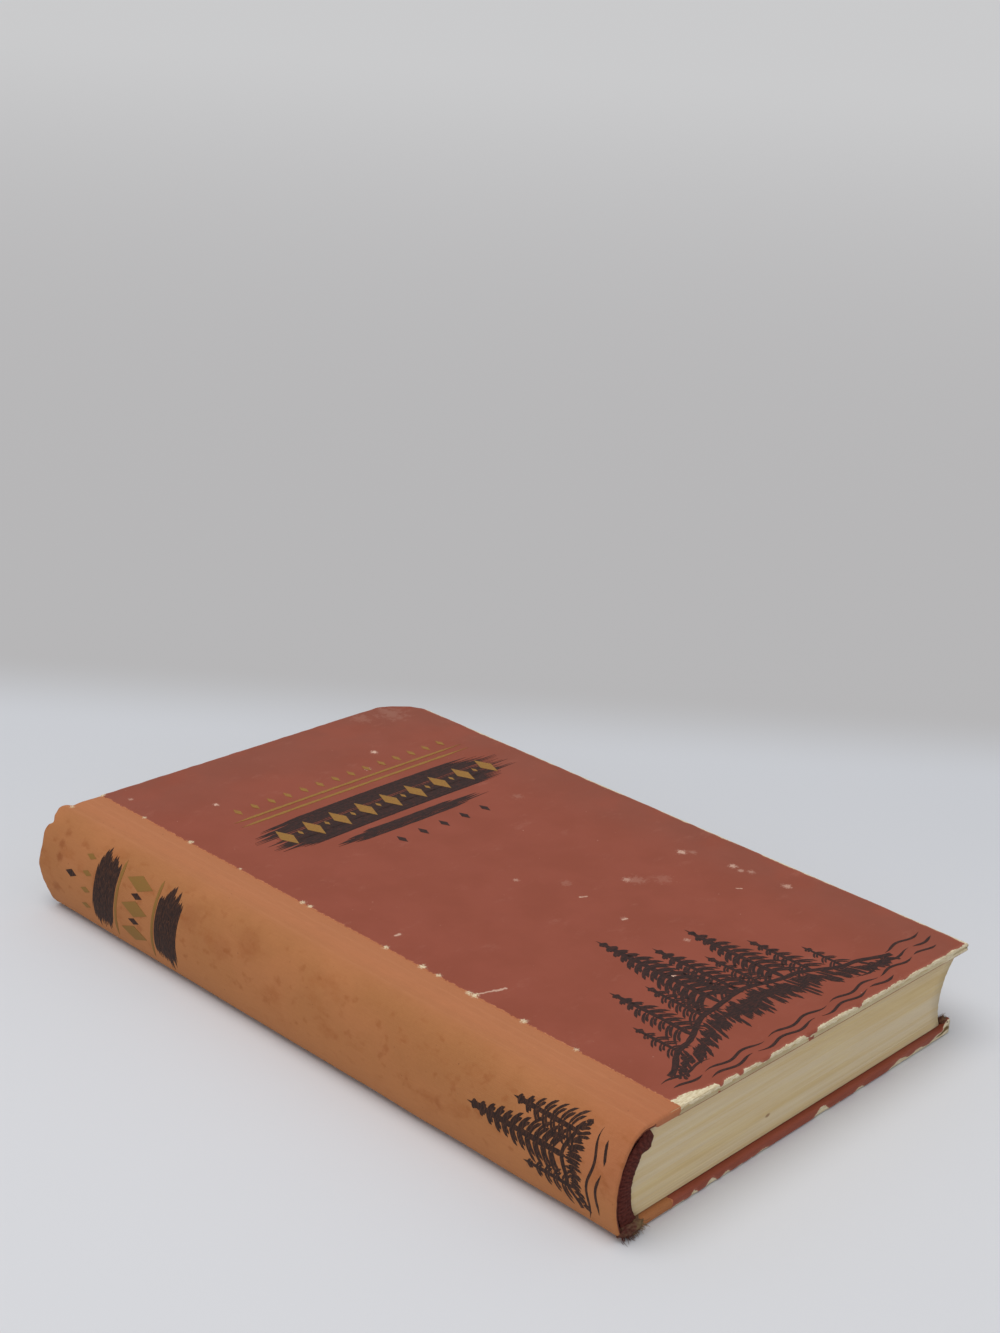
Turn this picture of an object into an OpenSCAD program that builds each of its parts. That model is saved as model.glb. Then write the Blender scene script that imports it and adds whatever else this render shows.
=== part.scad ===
// Hardback book in a quarter cloth case, lying on its back cover.
// The spine runs along Y with the tail at -Y. The fore edge faces +X and the front cover faces up.
// The book has leaned with age, so the front cover has slipped towards the fore edge.

/* [Covers] */
// Height of the covers from head to tail
cover_h = 205; // [180:1:240]
// Width of each board from the joint to the fore edge
board_w = 122.8; // [100:0.2:150]
// Thickness of each board
board_t = 2; // [1.4:0.1:3]
// Thickness of the spine cloth and of the covering paper
wrap_t = 0.3; // [0.2:0.05:0.5]
// How far cloth and paper are turned in over the boards' edges
turn_in = 14; // [8:1:20]
// Width of the cloth strip that shows on the front board
front_strip_w = 7; // [4:0.5:14]
// Width of the cloth strip that shows on the back board
back_strip_w = 11; // [4:0.5:14]
// Distance from each hinge line to its board
joint_w = 2.6; // [2:0.1:5]
// Size of the knocked corner of the front board, at the head of the fore edge
front_knock = 10; // [1:0.5:16]
// Size of the knocked corner of the back board
back_knock = 3; // [1:0.5:16]

/* [Spine] */
// Thickness of the closed book at the spine
spine_h = 27; // [22:0.5:40]
// How much thinner the closed book is at the fore edge
swell = 1.7; // [0:0.1:3]
// How far the front cover has slipped towards the fore edge
lean = 3.6; // [0:0.2:5]
// Distance from each hinge line back to the shoulder of the spine
shoulder_w = 1.2; // [1:0.1:2.5]
// Radius of the shoulder by the front cover
front_shoulder_r = 7.2; // [5:0.1:9]
// Radius of the shoulder by the back cover
back_shoulder_r = 4.4; // [3.5:0.1:7]
// Radius of the rounded back between the shoulders
spine_r = 22; // [18:0.5:60]
// Thickness of the card strip that stiffens the spine cloth
inlay_t = 0.8; // [0.4:0.1:1.2]

/* [Pages] */
// How far the folded backs of the pages stand out from their shoulders
fold_rise = 4; // [2:0.2:5]
// Depth of the hollow in the fore edge
fore_dip = 3.3; // [1:0.1:5]
// How far the covers stand past the pages at the head
head_square = 3.4; // [2:0.1:5]
// How far the covers stand past the pages at the tail
tail_square = 1.6; // [1.2:0.1:5]
// How far the covers stand past the pages at the fore edge
fore_square = 2.8; // [1.5:0.1:5]
// Thickness of each paper endleaf
leaf_t = 0.2; // [0.1:0.05:0.4]

/* [Back linings] */
// Thickness of the gauze that is glued over the folded backs
gauze_t = 0.3; // [0.2:0.05:0.5]
// Thickness of the paper lining over the gauze
lining_t = 0.3; // [0.2:0.05:0.5]
// Thickness of the woven tape of the head and tail bands
tape_t = 0.3; // [0.2:0.05:0.5]
// Length of the woven tape along the spine
tape_len = 12; // [6:1:20]
// How far the beads of the bands lap over the ends of the pages
bead_lap = 1.5; // [1:0.1:2.5]

/* [Hidden] */
$fn = 96;
// Facets on each shoulder and on the rounded back of the spine cloth
shoulder_steps = 12;
spine_steps = 16;

// Half of the slit between the spine cloth and the cloth on each board
slit = 0.15;
// Gap between a closed cover and the endleaf under it
closing_gap = 0.1;
// How far the spine cloth lies inside the outer faces of the covers
spine_sink = 0.15;
// Margin between the pastedown and the boards' edges
paste_margin = 3;
// Length that reaches past every part of the book
reach = 400;
// Small overlap for clean cuts
eps = 0.01;

board_h = cover_h - 2 * wrap_t;
cover_t = board_t + 2 * wrap_t + leaf_t;
slope = atan(swell / (joint_w + board_w));
leaf_depth = cover_t + closing_gap;
block_depth = leaf_depth + leaf_t;
tail_y = -cover_h / 2 + tail_square;
head_y = cover_h / 2 - head_square;
page_right = joint_w + board_w + wrap_t - fore_square;
// Half the thickness of both beads, so that the one at the tail just fills its square
bead_r = tail_square / 2;

// Height of a line that runs parallel to the front cover at a depth below its outer face
function top_z(x, depth) = spine_h - depth / cos(slope) - x * tan(slope);

// An arc is given by its chord, from low to high, and by how far it bows towards the spine
function along(p, q) = (q - p) / norm(q - p);
function across(p, q) = [along(p, q)[1], -along(p, q)[0]];
function bow_r(p, q, bow) = (pow(norm(q - p) / 2, 2) + bow * bow) / (2 * bow);
function bow_centre(p, q, bow) = (p + q) / 2 + across(p, q) * (bow_r(p, q, bow) - bow);

// Corners of the pages in the cross-section
fold_low = [-lean - shoulder_w, block_depth];
fold_high = [-shoulder_w, top_z(-shoulder_w, block_depth)];
fore_low = [page_right - lean, block_depth];
fore_high = [page_right, top_z(page_right, block_depth)];
fold_r = bow_r(fold_low, fold_high, fold_rise);
fold_c = bow_centre(fold_low, fold_high, fold_rise);

// Centres of the two shoulders of the spine cloth, and of the big arc that is tangent to both
front_c = [-shoulder_w, spine_h - spine_sink - front_shoulder_r];
back_c = [-lean - shoulder_w, spine_sink + back_shoulder_r];
to_front = spine_r - front_shoulder_r;
to_back = spine_r - back_shoulder_r;
between = norm(front_c - back_c);
foot = (to_back * to_back - to_front * to_front + between * between) / (2 * between);
rise = sqrt(to_back * to_back - foot * foot);
spine_c = back_c + along(back_c, front_c) * foot + across(back_c, front_c) * rise;
front_a = atan2(front_c[1] - spine_c[1], front_c[0] - spine_c[0]);
back_a = 360 + atan2(back_c[1] - spine_c[1], back_c[0] - spine_c[0]);

// The model is drawn with the front hinge line at x = 0 and then centred on its box
left_x = spine_c[0] - spine_r;
right_x = (joint_w + board_w + wrap_t) * cos(slope);
hinge_x = -(left_x + right_x) / 2;

cloth_colour = [0.74, 0.46, 0.27];
fold_colour = [0.30, 0.09, 0.08];
paper_colour = [0.58, 0.30, 0.23];
board_colour = [0.78, 0.70, 0.52];
page_colour = [0.76, 0.69, 0.53];
leaf_colour = [0.80, 0.73, 0.58];
gauze_colour = [0.82, 0.78, 0.68];
lining_colour = [0.60, 0.50, 0.36];

module seated() {
    translate([hinge_x, 0, 0])
        children();
}

// Extrudes a cross-section drawn in x and z from one y to another
module along_y(y_low, y_high) {
    rotate([90, 0, 0])
        translate([0, 0, -y_high])
            linear_extrude(y_high - y_low)
                children();
}

// Everything under a line parallel to the front cover
module under_front(depth) {
    translate([0, spine_h])
        rotate(-slope)
            translate([-reach, -depth - reach])
                square([2 * reach, reach]);
}

// Everything over a line parallel to the back cover
module over_back(depth) {
    translate([-reach, depth])
        square([2 * reach, reach]);
}

// Everything to the fore-edge side of an arc that bows towards the spine
module past_arc(p, q, bow, grow = 0) {
    u = along(p, q);
    n = across(p, q);
    translate(bow_centre(p, q, bow))
        circle(bow_r(p, q, bow) + grow);
    polygon([
        p - u * reach,
        q + u * reach,
        q + u * reach + n * reach,
        p - u * reach + n * reach
    ]);
}

// Cross-section of the pages between two planes, and of the leaves that lie on them
module page_section(front_depth, back_depth) {
    difference() {
        intersection() {
            under_front(front_depth);
            over_back(back_depth);
            past_arc(fold_low, fold_high, fold_rise);
        }
        past_arc(fore_low, fore_high, fore_dip);
    }
}

module text_block() {
    color(page_colour)
        seated()
            along_y(tail_y, head_y)
                page_section(block_depth, block_depth);
}

// An endleaf is a flat sheet from the shoulder to the fore edge
module front_flyleaf() {
    leaf_run = (fore_high[0] - fold_high[0]) / cos(slope);
    color(leaf_colour)
        seated()
            translate([0, 0, spine_h])
                rotate([0, slope, 0])
                    translate([fold_high[0], tail_y, -block_depth])
                        cube([leaf_run, head_y - tail_y, leaf_t]);
}

module back_flyleaf() {
    color(leaf_colour)
        seated()
            translate([fold_low[0], tail_y, leaf_depth])
                cube([fore_low[0] - fold_low[0], head_y - tail_y, leaf_t]);
}

// A layer over the folded backs, from one distance to another outside them
module back_layer(from_t, to_t) {
    intersection() {
        under_front(block_depth);
        over_back(block_depth);
        difference() {
            past_arc(fold_low, fold_high, fold_rise, to_t);
            past_arc(fold_low, fold_high, fold_rise, from_t);
        }
    }
}

module spine_gauze() {
    color(gauze_colour)
        seated()
            along_y(tail_y, head_y)
                back_layer(0, gauze_t);
}

module spine_lining() {
    color(lining_colour)
        seated()
            along_y(tail_y, head_y)
                back_layer(gauze_t, gauze_t + lining_t);
}

// The bead of a band is a flattened roll that follows the folded backs
module bead_ring() {
    outer = fold_r + gauze_t + lining_t + tape_t - bead_r;
    inner = fold_r - bead_lap + bead_r;
    rotate_extrude() {
        translate([outer, 0])
            circle(bead_r, $fn = 24);
        translate([inner, 0])
            circle(bead_r, $fn = 24);
        translate([inner, -bead_r])
            square([outer - inner, 2 * bead_r]);
    }
}

// A woven band: tape glued to the spine with its bead on the ends of the pages
module woven_band(end_y, side) {
    tape_low = min(end_y + side * bead_r, end_y - side * tape_len);
    tape_high = max(end_y + side * bead_r, end_y - side * tape_len);
    outside = gauze_t + lining_t;
    along_y(tape_low, tape_high)
        back_layer(outside, outside + tape_t);
    intersection() {
        translate([fold_c[0], end_y + side * bead_r, fold_c[1]])
            rotate([90, 0, 0])
                bead_ring();
        along_y(end_y - 2 * bead_r, end_y + 2 * bead_r)
            intersection() {
                under_front(block_depth);
                over_back(block_depth);
                translate([-reach + fold_c[0] - fold_r / 2, 0])
                    square([reach, reach]);
            }
    }
}

module head_band() {
    color(fold_colour)
        seated()
            woven_band(head_y, 1);
}

module tail_band() {
    color(fold_colour)
        seated()
            woven_band(tail_y, -1);
}

// Points on an arc, from one angle to another
function arc(centre, r, from_a, to_a, steps) =
    [for (i = [0:steps]) let (a = from_a + (to_a - from_a) * i / steps) centre + r * [cos(a), sin(a)]];

// The curve of the spine at a depth under its outer face, from the front joint to the back joint
function spine_curve(depth) = concat(
    arc(front_c, front_shoulder_r - depth, 90, front_a, shoulder_steps),
    arc(spine_c, spine_r - depth, front_a, back_a, spine_steps),
    arc(back_c, back_shoulder_r - depth, back_a, 270, shoulder_steps)
);

// The same curve with the flat stretches that reach to the hinge lines
function joint_curve(depth) = concat(
    [[-slit, spine_h - spine_sink - depth]],
    spine_curve(depth),
    [[-slit - lean, spine_sink + depth]]
);

// A layer of the spine between two depths
module spine_layer(outer_curve, inner_curve) {
    last = len(inner_curve) - 1;
    polygon(concat(outer_curve, [for (i = [0:last]) inner_curve[last - i]]));
}

module spine_shell(from_depth, to_depth) {
    spine_layer(joint_curve(from_depth), joint_curve(to_depth));
}

// The card strip ends where the shoulders turn into the joints
module spine_inlay() {
    color(lining_colour)
        seated()
            along_y(-board_h / 2, board_h / 2)
                spine_layer(spine_curve(wrap_t), spine_curve(wrap_t + inlay_t));
}

// The spine cloth wraps the card strip, folds over its ends and is turned in behind it
module spine_cloth() {
    inner = wrap_t + inlay_t;
    flap_y = cover_h / 2 - turn_in;
    color(cloth_colour)
        seated() {
            along_y(-flap_y, flap_y)
                spine_shell(0, wrap_t);
            for (side = [-1, 1]) {
                along_y(min(side * flap_y, side * board_h / 2), max(side * flap_y, side * board_h / 2)) {
                    spine_shell(0, wrap_t);
                    spine_shell(inner, inner + wrap_t);
                }
                along_y(min(side * board_h, side * cover_h) / 2, max(side * board_h, side * cover_h) / 2)
                    spine_shell(0, inner + wrap_t);
            }
        }
}

// A cover is drawn with its hinge line at x = 0 and its outer face at z = 0, and z is the depth
module as_front() {
    seated()
        translate([0, 0, spine_h])
            rotate([0, slope, 0])
                mirror([0, 0, 1])
                    children();
}

module as_back() {
    seated()
        translate([-lean, 0, 0])
            children();
}

// A sheet with one knocked corner, at the head of the fore edge
module sheet(x_low, x_high, half_h, z_low, z_high, knock) {
    translate([0, 0, z_low])
        linear_extrude(z_high - z_low)
            polygon([
                [x_low, -half_h],
                [x_high, -half_h],
                [x_high, half_h - knock],
                [x_high - 0.24 * knock, half_h - 0.55 * knock],
                [x_high - 0.72 * knock, half_h - 0.16 * knock],
                [x_high - 1.1 * knock, half_h],
                [x_low, half_h]
            ]);
}

module cover_board(knock) {
    sheet(joint_w, joint_w + board_w, board_h / 2, wrap_t, wrap_t + board_t, knock);
}

// A covering sheet that wraps the board from one x to another and is turned in behind it
module board_wrap(x_low, x_high, knock, fore_turn) {
    difference() {
        intersection() {
            sheet(joint_w, joint_w + board_w + wrap_t, cover_h / 2, 0, board_t + 2 * wrap_t, knock);
            translate([x_low, -cover_h, -reach / 2])
                cube([x_high - x_low, 2 * cover_h, reach]);
        }
        cover_board(knock);
        translate([joint_w - eps, -cover_h / 2 + turn_in, wrap_t + board_t / 2])
            cube([board_w + wrap_t - fore_turn + eps, cover_h - 2 * turn_in, board_t]);
    }
}

// The cloth bridges the joint, doubled where it is turned in, and wraps its strip of the board
module cover_cloth(strip_w) {
    board_wrap(joint_w, joint_w + strip_w, 1, 0);
    translate([slit, -cover_h / 2, 0])
        cube([joint_w - slit, cover_h, wrap_t]);
    for (side = [0, 1])
        mirror([0, side, 0])
            translate([slit, cover_h / 2 - turn_in, wrap_t - eps])
                cube([joint_w - slit, turn_in, wrap_t + eps]);
}

module cover_paper(strip_w, knock) {
    board_wrap(joint_w + strip_w, joint_w + board_w + wrap_t, knock, turn_in);
}

// The pastedown lies on the turn-ins and fills the level between them
module cover_pastedown(knock) {
    inner_z = wrap_t + board_t;
    half_h = board_h / 2 - paste_margin;
    sheet(joint_w, joint_w + board_w - paste_margin, half_h, inner_z + wrap_t, cover_t, knock);
    translate([joint_w, -cover_h / 2 + turn_in, inner_z])
        cube([board_w + wrap_t - turn_in, cover_h - 2 * turn_in, wrap_t + eps]);
}

module front_board() {
    color(board_colour)
        as_front()
            cover_board(front_knock);
}

module front_hinge_cloth() {
    color(cloth_colour)
        as_front()
            cover_cloth(front_strip_w);
}

module front_cover_paper() {
    color(paper_colour)
        as_front()
            cover_paper(front_strip_w, front_knock);
}

module front_pastedown() {
    color(leaf_colour)
        as_front()
            cover_pastedown(front_knock);
}

module back_board() {
    color(board_colour)
        as_back()
            cover_board(back_knock);
}

module back_hinge_cloth() {
    color(cloth_colour)
        as_back()
            cover_cloth(back_strip_w);
}

module back_cover_paper() {
    color(paper_colour)
        as_back()
            cover_paper(back_strip_w, back_knock);
}

module back_pastedown() {
    color(leaf_colour)
        as_back()
            cover_pastedown(back_knock);
}

text_block();
front_flyleaf();
back_flyleaf();
spine_gauze();
spine_lining();
head_band();
tail_band();
spine_inlay();
spine_cloth();
front_board();
front_hinge_cloth();
front_cover_paper();
front_pastedown();
back_board();
back_hinge_cloth();
back_cover_paper();
back_pastedown();
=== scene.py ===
# %% [markdown]
# # A quarter-bound hardback, lying on its back cover
# The book has boards covered in printed red paper and a spine of book cloth that was maroon
# and has faded to orange. It leans, its corners are knocked and its edges are worn to the
# cream board. Each step below makes one piece of it, as a bookbinder would name it.
#
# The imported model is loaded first. It fixes where everything is and how the covers turn.

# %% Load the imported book
import math
import random

import bmesh
import bpy
from mathutils import Matrix, Vector, noise


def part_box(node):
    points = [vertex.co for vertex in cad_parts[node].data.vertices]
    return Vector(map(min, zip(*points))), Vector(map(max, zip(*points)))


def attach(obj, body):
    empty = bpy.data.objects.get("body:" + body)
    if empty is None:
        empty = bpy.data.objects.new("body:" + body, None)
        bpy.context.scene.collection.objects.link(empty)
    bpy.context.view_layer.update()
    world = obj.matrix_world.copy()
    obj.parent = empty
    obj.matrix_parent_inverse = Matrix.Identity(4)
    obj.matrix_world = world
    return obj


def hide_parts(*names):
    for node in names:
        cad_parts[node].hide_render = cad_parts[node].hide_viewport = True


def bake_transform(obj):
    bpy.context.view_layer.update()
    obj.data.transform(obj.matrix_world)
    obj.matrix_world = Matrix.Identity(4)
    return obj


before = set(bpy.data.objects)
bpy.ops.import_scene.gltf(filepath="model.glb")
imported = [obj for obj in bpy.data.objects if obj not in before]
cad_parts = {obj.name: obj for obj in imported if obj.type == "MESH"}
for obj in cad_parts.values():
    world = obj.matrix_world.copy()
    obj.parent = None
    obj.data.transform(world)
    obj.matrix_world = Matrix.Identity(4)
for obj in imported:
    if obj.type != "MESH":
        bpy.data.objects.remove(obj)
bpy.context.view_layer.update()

# %% [markdown]
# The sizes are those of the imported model, in millimetres, because a binder measures so. A
# cover has a frame of its own: x runs from its hinge line to the fore edge, y from tail to
# head, and depth from its outer face inwards.

# %% Sizes and the two covers' frames
MM = 0.001
COVER_H, BOARD_W, BOARD_T, WRAP = 205.0, 122.8, 2.0, 0.3
JOINT_W, TURN_IN, FRONT_STRIP, BACK_STRIP = 2.6, 14.0, 7.0, 11.0
SPINE_H, LEAN, SWELL = 27.0, 3.6, 1.7
# The squares: how far the covers stand past the pages.
TAIL_SQUARE, HEAD_SQUARE, FORE_SQUARE = 1.6, 3.4, 2.8
# From a hinge line to where the spine turns down, and how far the cloth lies in there.
SHOULDER_W, SHOULDER_DIP = 1.2, 0.15
# How much of each cover's fore-edge corner at the head is knocked off.
FRONT_KNOCK, BACK_KNOCK = 10, 3
HALF_H = COVER_H / 2
COVER_END = JOINT_W + BOARD_W + WRAP
EDGE_T = BOARD_T + 2 * WRAP
LEAF_DEPTH, BLOCK_DEPTH = EDGE_T + 0.3, 3.1
slope = math.atan(SWELL / (JOINT_W + BOARD_W))
hinge_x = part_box("back_board")[0].x / MM - JOINT_W + LEAN

front_frame = Matrix.Translation((hinge_x, 0, SPINE_H)) @ Matrix.Rotation(slope, 4, "Y")
back_frame = Matrix.Translation((hinge_x - LEAN, 0, 0)) @ Matrix.Scale(-1, 4, (0, 0, 1))
print("front hinge line at x =", round(hinge_x, 3), "mm, cover slope", round(math.degrees(slope), 3))


def smooth(t):
    t = min(1.0, max(0.0, t))
    return t * t * (3 - 2 * t)


def mix(a, b, t):
    return a + (b - a) * t


def rough(x, y=0.0, z=0.0, size=1.0):
    """Soft noise from -1 to 1 whose bumps are about size across."""
    return noise.noise(Vector((x / size, y / size, z / size)))


def spaced(low, high, step):
    """Evenly spaced places from low to high, about step apart."""
    count = max(1, round((high - low) / step))
    return [low + (high - low) * i / count for i in range(count + 1)]


# %% [markdown]
# ## Camera
# The camera stands where the photographer's did, above the tail of the spine. Its place,
# angles and focal length were fitted to the edges of the covers.

# %% Camera
FOCAL_PX, HIGH_PX = 2182.68, 1333
CAMERA_AT = (-0.37856, -0.33997, 0.28554)
AZIMUTH, ELEVATION, ROLL = (math.radians(a) for a in (47.95, 21.51, -3.62))
camera_data = bpy.data.cameras.new("camera")
camera_data.sensor_width = 36
camera_data.lens = FOCAL_PX / HIGH_PX * 36
camera_data.clip_start, camera_data.clip_end = 0.05, 20
camera = bpy.data.objects.new("camera", camera_data)
bpy.context.collection.objects.link(camera)
ahead = Vector((math.sin(AZIMUTH) * math.cos(ELEVATION), math.cos(AZIMUTH) * math.cos(ELEVATION),
                -math.sin(ELEVATION)))
level = ahead.cross(Vector((0, 0, 1))).normalized()
drop = ahead.cross(level)
right = math.cos(ROLL) * level + math.sin(ROLL) * drop
down = math.cos(ROLL) * drop - math.sin(ROLL) * level
turn = Matrix((right, -down, -ahead)).transposed().to_4x4()
camera.matrix_world = Matrix.Translation(CAMERA_AT) @ turn
bpy.context.scene.camera = camera
bpy.context.scene.view_settings.view_transform = "Standard"
print("camera lens", round(camera_data.lens, 2), "mm")

# %% [markdown]
# ## Nodes
# Materials are built with a few short helpers. Each puts one node into a tree, and links
# or sets its inputs, so that a material reads from top to bottom.


# %% Node helpers
def put(tree, kind, inputs=None, **settings):
    node = tree.nodes.new(kind)
    for name, value in settings.items():
        setattr(node, name, value)
    for name, value in (inputs or {}).items():
        feed(tree, node.inputs[name], value)
    return node


def feed(tree, socket, value):
    if isinstance(value, bpy.types.NodeSocket):
        tree.links.new(value, socket)
    else:
        socket.default_value = value


def calc(tree, operation, *values):
    return put(tree, "ShaderNodeMath", dict(enumerate(values)), operation=operation).outputs[0]


def times(tree, first, second):
    return calc(tree, "MULTIPLY", first, second)


def vector_calc(tree, operation, first, second, output="Value"):
    return put(tree, "ShaderNodeVectorMath", {0: first, 1: second}, operation=operation).outputs[output]


def fit(tree, value, low, high):
    """A soft step from 0 where the value is low to 1 where it is high. Low may be the larger."""
    inputs = {"Value": value, "From Min": low, "From Max": high}
    return put(tree, "ShaderNodeMapRange", inputs, interpolation_type="SMOOTHSTEP").outputs[0]


def tint(tree, amount, first, second):
    return put(tree, "ShaderNodeMix", {0: amount, 6: first, 7: second}, data_type="RGBA").outputs[2]


def wash(tree, base, mask, strength, tone):
    """Lay a tone over the base where the mask is, as strongly as strength at most."""
    return tint(tree, times(tree, mask, strength), base, tone)


def speckle(tree, where, scale, detail=3.0, roughness=0.55):
    inputs = {"Vector": where, "Scale": scale, "Detail": detail, "Roughness": roughness}
    return put(tree, "ShaderNodeTexNoise", inputs).outputs["Fac"]


def swing(tree, where, scale, detail, roughness, size):
    """Noise that swings about zero, by half of size to either side."""
    return times(tree, calc(tree, "SUBTRACT", speckle(tree, where, scale, detail, roughness), 0.5), size)


def stretch(tree, where, scale=(1, 1, 1), shift=(0, 0, 0)):
    return put(tree, "ShaderNodeMapping", {"Vector": where, "Scale": scale, "Location": shift}).outputs[0]


def soft_spot(tree, at, place, scale, near, far):
    """A soft spot round a place, drawn out by scale: 1 within near of it and 0 beyond far."""
    middle = [p * s for p, s in zip(place, scale)]
    return fit(tree, vector_calc(tree, "DISTANCE", stretch(tree, at, scale), middle), far, near)


def on_sheet(tree):
    """The place on the flat sheet, in millimetres."""
    return put(tree, "ShaderNodeAttribute", attribute_name="at").outputs["Vector"]


def carried(tree, name):
    """A number that the points of the piece carry."""
    return put(tree, "ShaderNodeAttribute", attribute_name=name).outputs["Fac"]


def apart(tree, vector):
    return put(tree, "ShaderNodeSeparateXYZ", {0: vector}).outputs


def bump(tree, height, strength, distance):
    return put(tree, "ShaderNodeBump", {"Height": height, "Strength": strength, "Distance": distance}).outputs[0]


def colour(r, g, b):
    """A colour given in screen values from 0 to 255, as the linear colour that a node takes."""
    def linear(c):
        c /= 255
        return c / 12.92 if c <= 0.04045 else ((c + 0.055) / 1.055) ** 2.4
    return (linear(r), linear(g), linear(b), 1.0)


def new_material(name):
    material = bpy.data.materials.new(name)
    material.use_nodes = True
    return material, material.node_tree


def coat(material, base, roughness, specular=0.5, **more):
    """Give the surface its colour, roughness and shine, and any other input that is named."""
    tree = material.node_tree
    looks = {"Base Color": base, "Roughness": roughness, "Specular IOR Level": specular, **more}
    for name, value in looks.items():
        feed(tree, tree.nodes["Principled BSDF"].inputs[name], value)
    print("material:", material.name)
    return material


# %% [markdown]
# ## Floor and light
# The photograph was taken in a small light tent: a pale floor that turns up into a grey
# wall behind the book, and soft light from all sides. Here the floor is one flat sheet. Where
# the wall would start it glows grey, lighter further back, a painted wall that gives off its
# own light, so nothing stands in the way of a view from behind. Nearer the book the floor is
# painted a little darker towards the wall, a painted shade.

# %% Floor
# How far behind the book the wall starts, in metres, and where it is full.
WALL_FROM, WALL_TO = 0.14, 0.2


def make_floor():
    bm = bmesh.new()
    bmesh.ops.create_grid(bm, x_segments=8, y_segments=8, size=4.0)
    mesh = bpy.data.meshes.new("floor")
    bm.to_mesh(mesh)
    bm.free()
    floor = bpy.data.objects.new("floor", mesh)
    bpy.context.collection.objects.link(floor)
    material, tree = new_material("floor")
    place = put(tree, "ShaderNodeTexCoord").outputs["Object"]
    away = vector_calc(tree, "DOT_PRODUCT", place, (math.sin(AZIMUTH), math.cos(AZIMUTH), 0))
    # Where the wall would start the floor glows grey, lighter further back: a painted wall that gives off light.
    painted_wall_glow = fit(tree, away, WALL_FROM, WALL_TO)
    wall_glow_grey = tint(tree, fit(tree, away, 0.4, 2.2), colour(176, 175, 176), colour(195, 195, 196))
    # Nearer the book the floor is painted a little darker towards the wall: painted shade.
    near = tint(tree, fit(tree, away, -0.1, 0.16), colour(215, 216, 220), colour(205, 207, 212))
    glow = {"Emission Color": tint(tree, painted_wall_glow, (0, 0, 0, 1), wall_glow_grey), "Emission Strength": 1.0}
    coat(material, tint(tree, painted_wall_glow, near, (0.02, 0.02, 0.02, 1)), 0.7, 0.2, **glow)
    mesh.materials.append(material)


make_floor()
print("floor laid")

# %% [markdown]
# The tent lights the book evenly from all sides, a little cool. One large lamp above gives
# the soft shadow under the fore edge, and a weak one on the left lights the spine.

# %% Light
world = bpy.data.worlds.new("soft light")
bpy.context.scene.world = world
world.use_nodes = True
world.node_tree.nodes["Background"].inputs["Color"].default_value = (0.95, 0.97, 1.0, 1)
world.node_tree.nodes["Background"].inputs["Strength"].default_value = 0.5


def soft_lamp(name, place, aim, size, power, tone=(1, 1, 1)):
    data = bpy.data.lights.new(name, "AREA")
    data.shape = "DISK"
    data.size = size
    data.energy = power
    data.color = tone
    lamp = bpy.data.objects.new(name, data)
    lamp.location = place
    lamp.rotation_euler = (Vector(aim) - Vector(place)).to_track_quat("-Z", "Y").to_euler()
    bpy.context.collection.objects.link(lamp)


soft_lamp("tent light", (-0.7, 0.3, 2.6), (0, 0, 0), 2.2, 40.0, (1.0, 0.985, 0.96))
soft_lamp("side light", (-1.6, -1.2, 0.9), (0, 0, 0.02), 1.2, 5.0)

# %% [markdown]
# ## Shared effects
# Old paper and cloth share a few effects: fibres that lift the surface a little, soft
# stains, and marks at known places. Each is a node group, so that every material can take it
# with its own values. All of them read a place on the sheet in millimetres, which every
# piece carries as the attribute `at`, because a pattern has to stay on cloth that bends.


# %% Node groups
def new_group(name, inputs, outputs):
    """A node group. Each input has its default value, or None where it is a place."""
    group = bpy.data.node_groups.new(name, "ShaderNodeTree")
    for label, value in inputs.items():
        kind = "NodeSocketVector" if value is None else "NodeSocketFloat"
        socket = group.interface.new_socket(label, in_out="INPUT", socket_type=kind)
        if value is not None:
            socket.default_value = value
    for label in outputs:
        group.interface.new_socket(label, in_out="OUTPUT", socket_type="NodeSocketFloat")
    return group, group.nodes.new("NodeGroupInput").outputs, group.nodes.new("NodeGroupOutput").inputs


def use(tree, group, **inputs):
    return put(tree, "ShaderNodeGroup", inputs, node_tree=group).outputs


def make_weave():
    group, given, out = new_group("plain weave", {"At": None, "Pitch": 0.4}, ("Height", "Thread"))
    parts = apart(group, given["At"])
    wobble = times(group, speckle(group, given["At"], 0.5, 2.0), 0.35)
    turns = calc(group, "DIVIDE", math.pi, given["Pitch"])
    waves = [calc(group, "SINE", times(group, calc(group, "ADD", parts[axis], wobble), turns)) for axis in (0, 1)]
    weave = calc(group, "ABSOLUTE", times(group, *waves))
    slub = speckle(group, stretch(group, given["At"], (3.0, 0.25, 1)), 1.0, 3.0)
    feed(group, out["Height"], calc(group, "ADD", weave, times(group, slub, 0.6)))
    feed(group, out["Thread"], fit(group, slub, 0.3, 0.7))
    return group


def make_fibres():
    group, given, out = new_group("paper fibres", {"At": None, "Size": 1.0}, ("Height", "Cloud"))
    scale = calc(group, "DIVIDE", 1.0, given["Size"])
    feed(group, out["Height"], speckle(group, given["At"], times(group, scale, 3.2), 4.0, 0.65))
    soft = speckle(group, given["At"], times(group, scale, 0.06), 3.0)
    feed(group, out["Cloud"], fit(group, soft, 0.35, 0.65))
    return group


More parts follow.
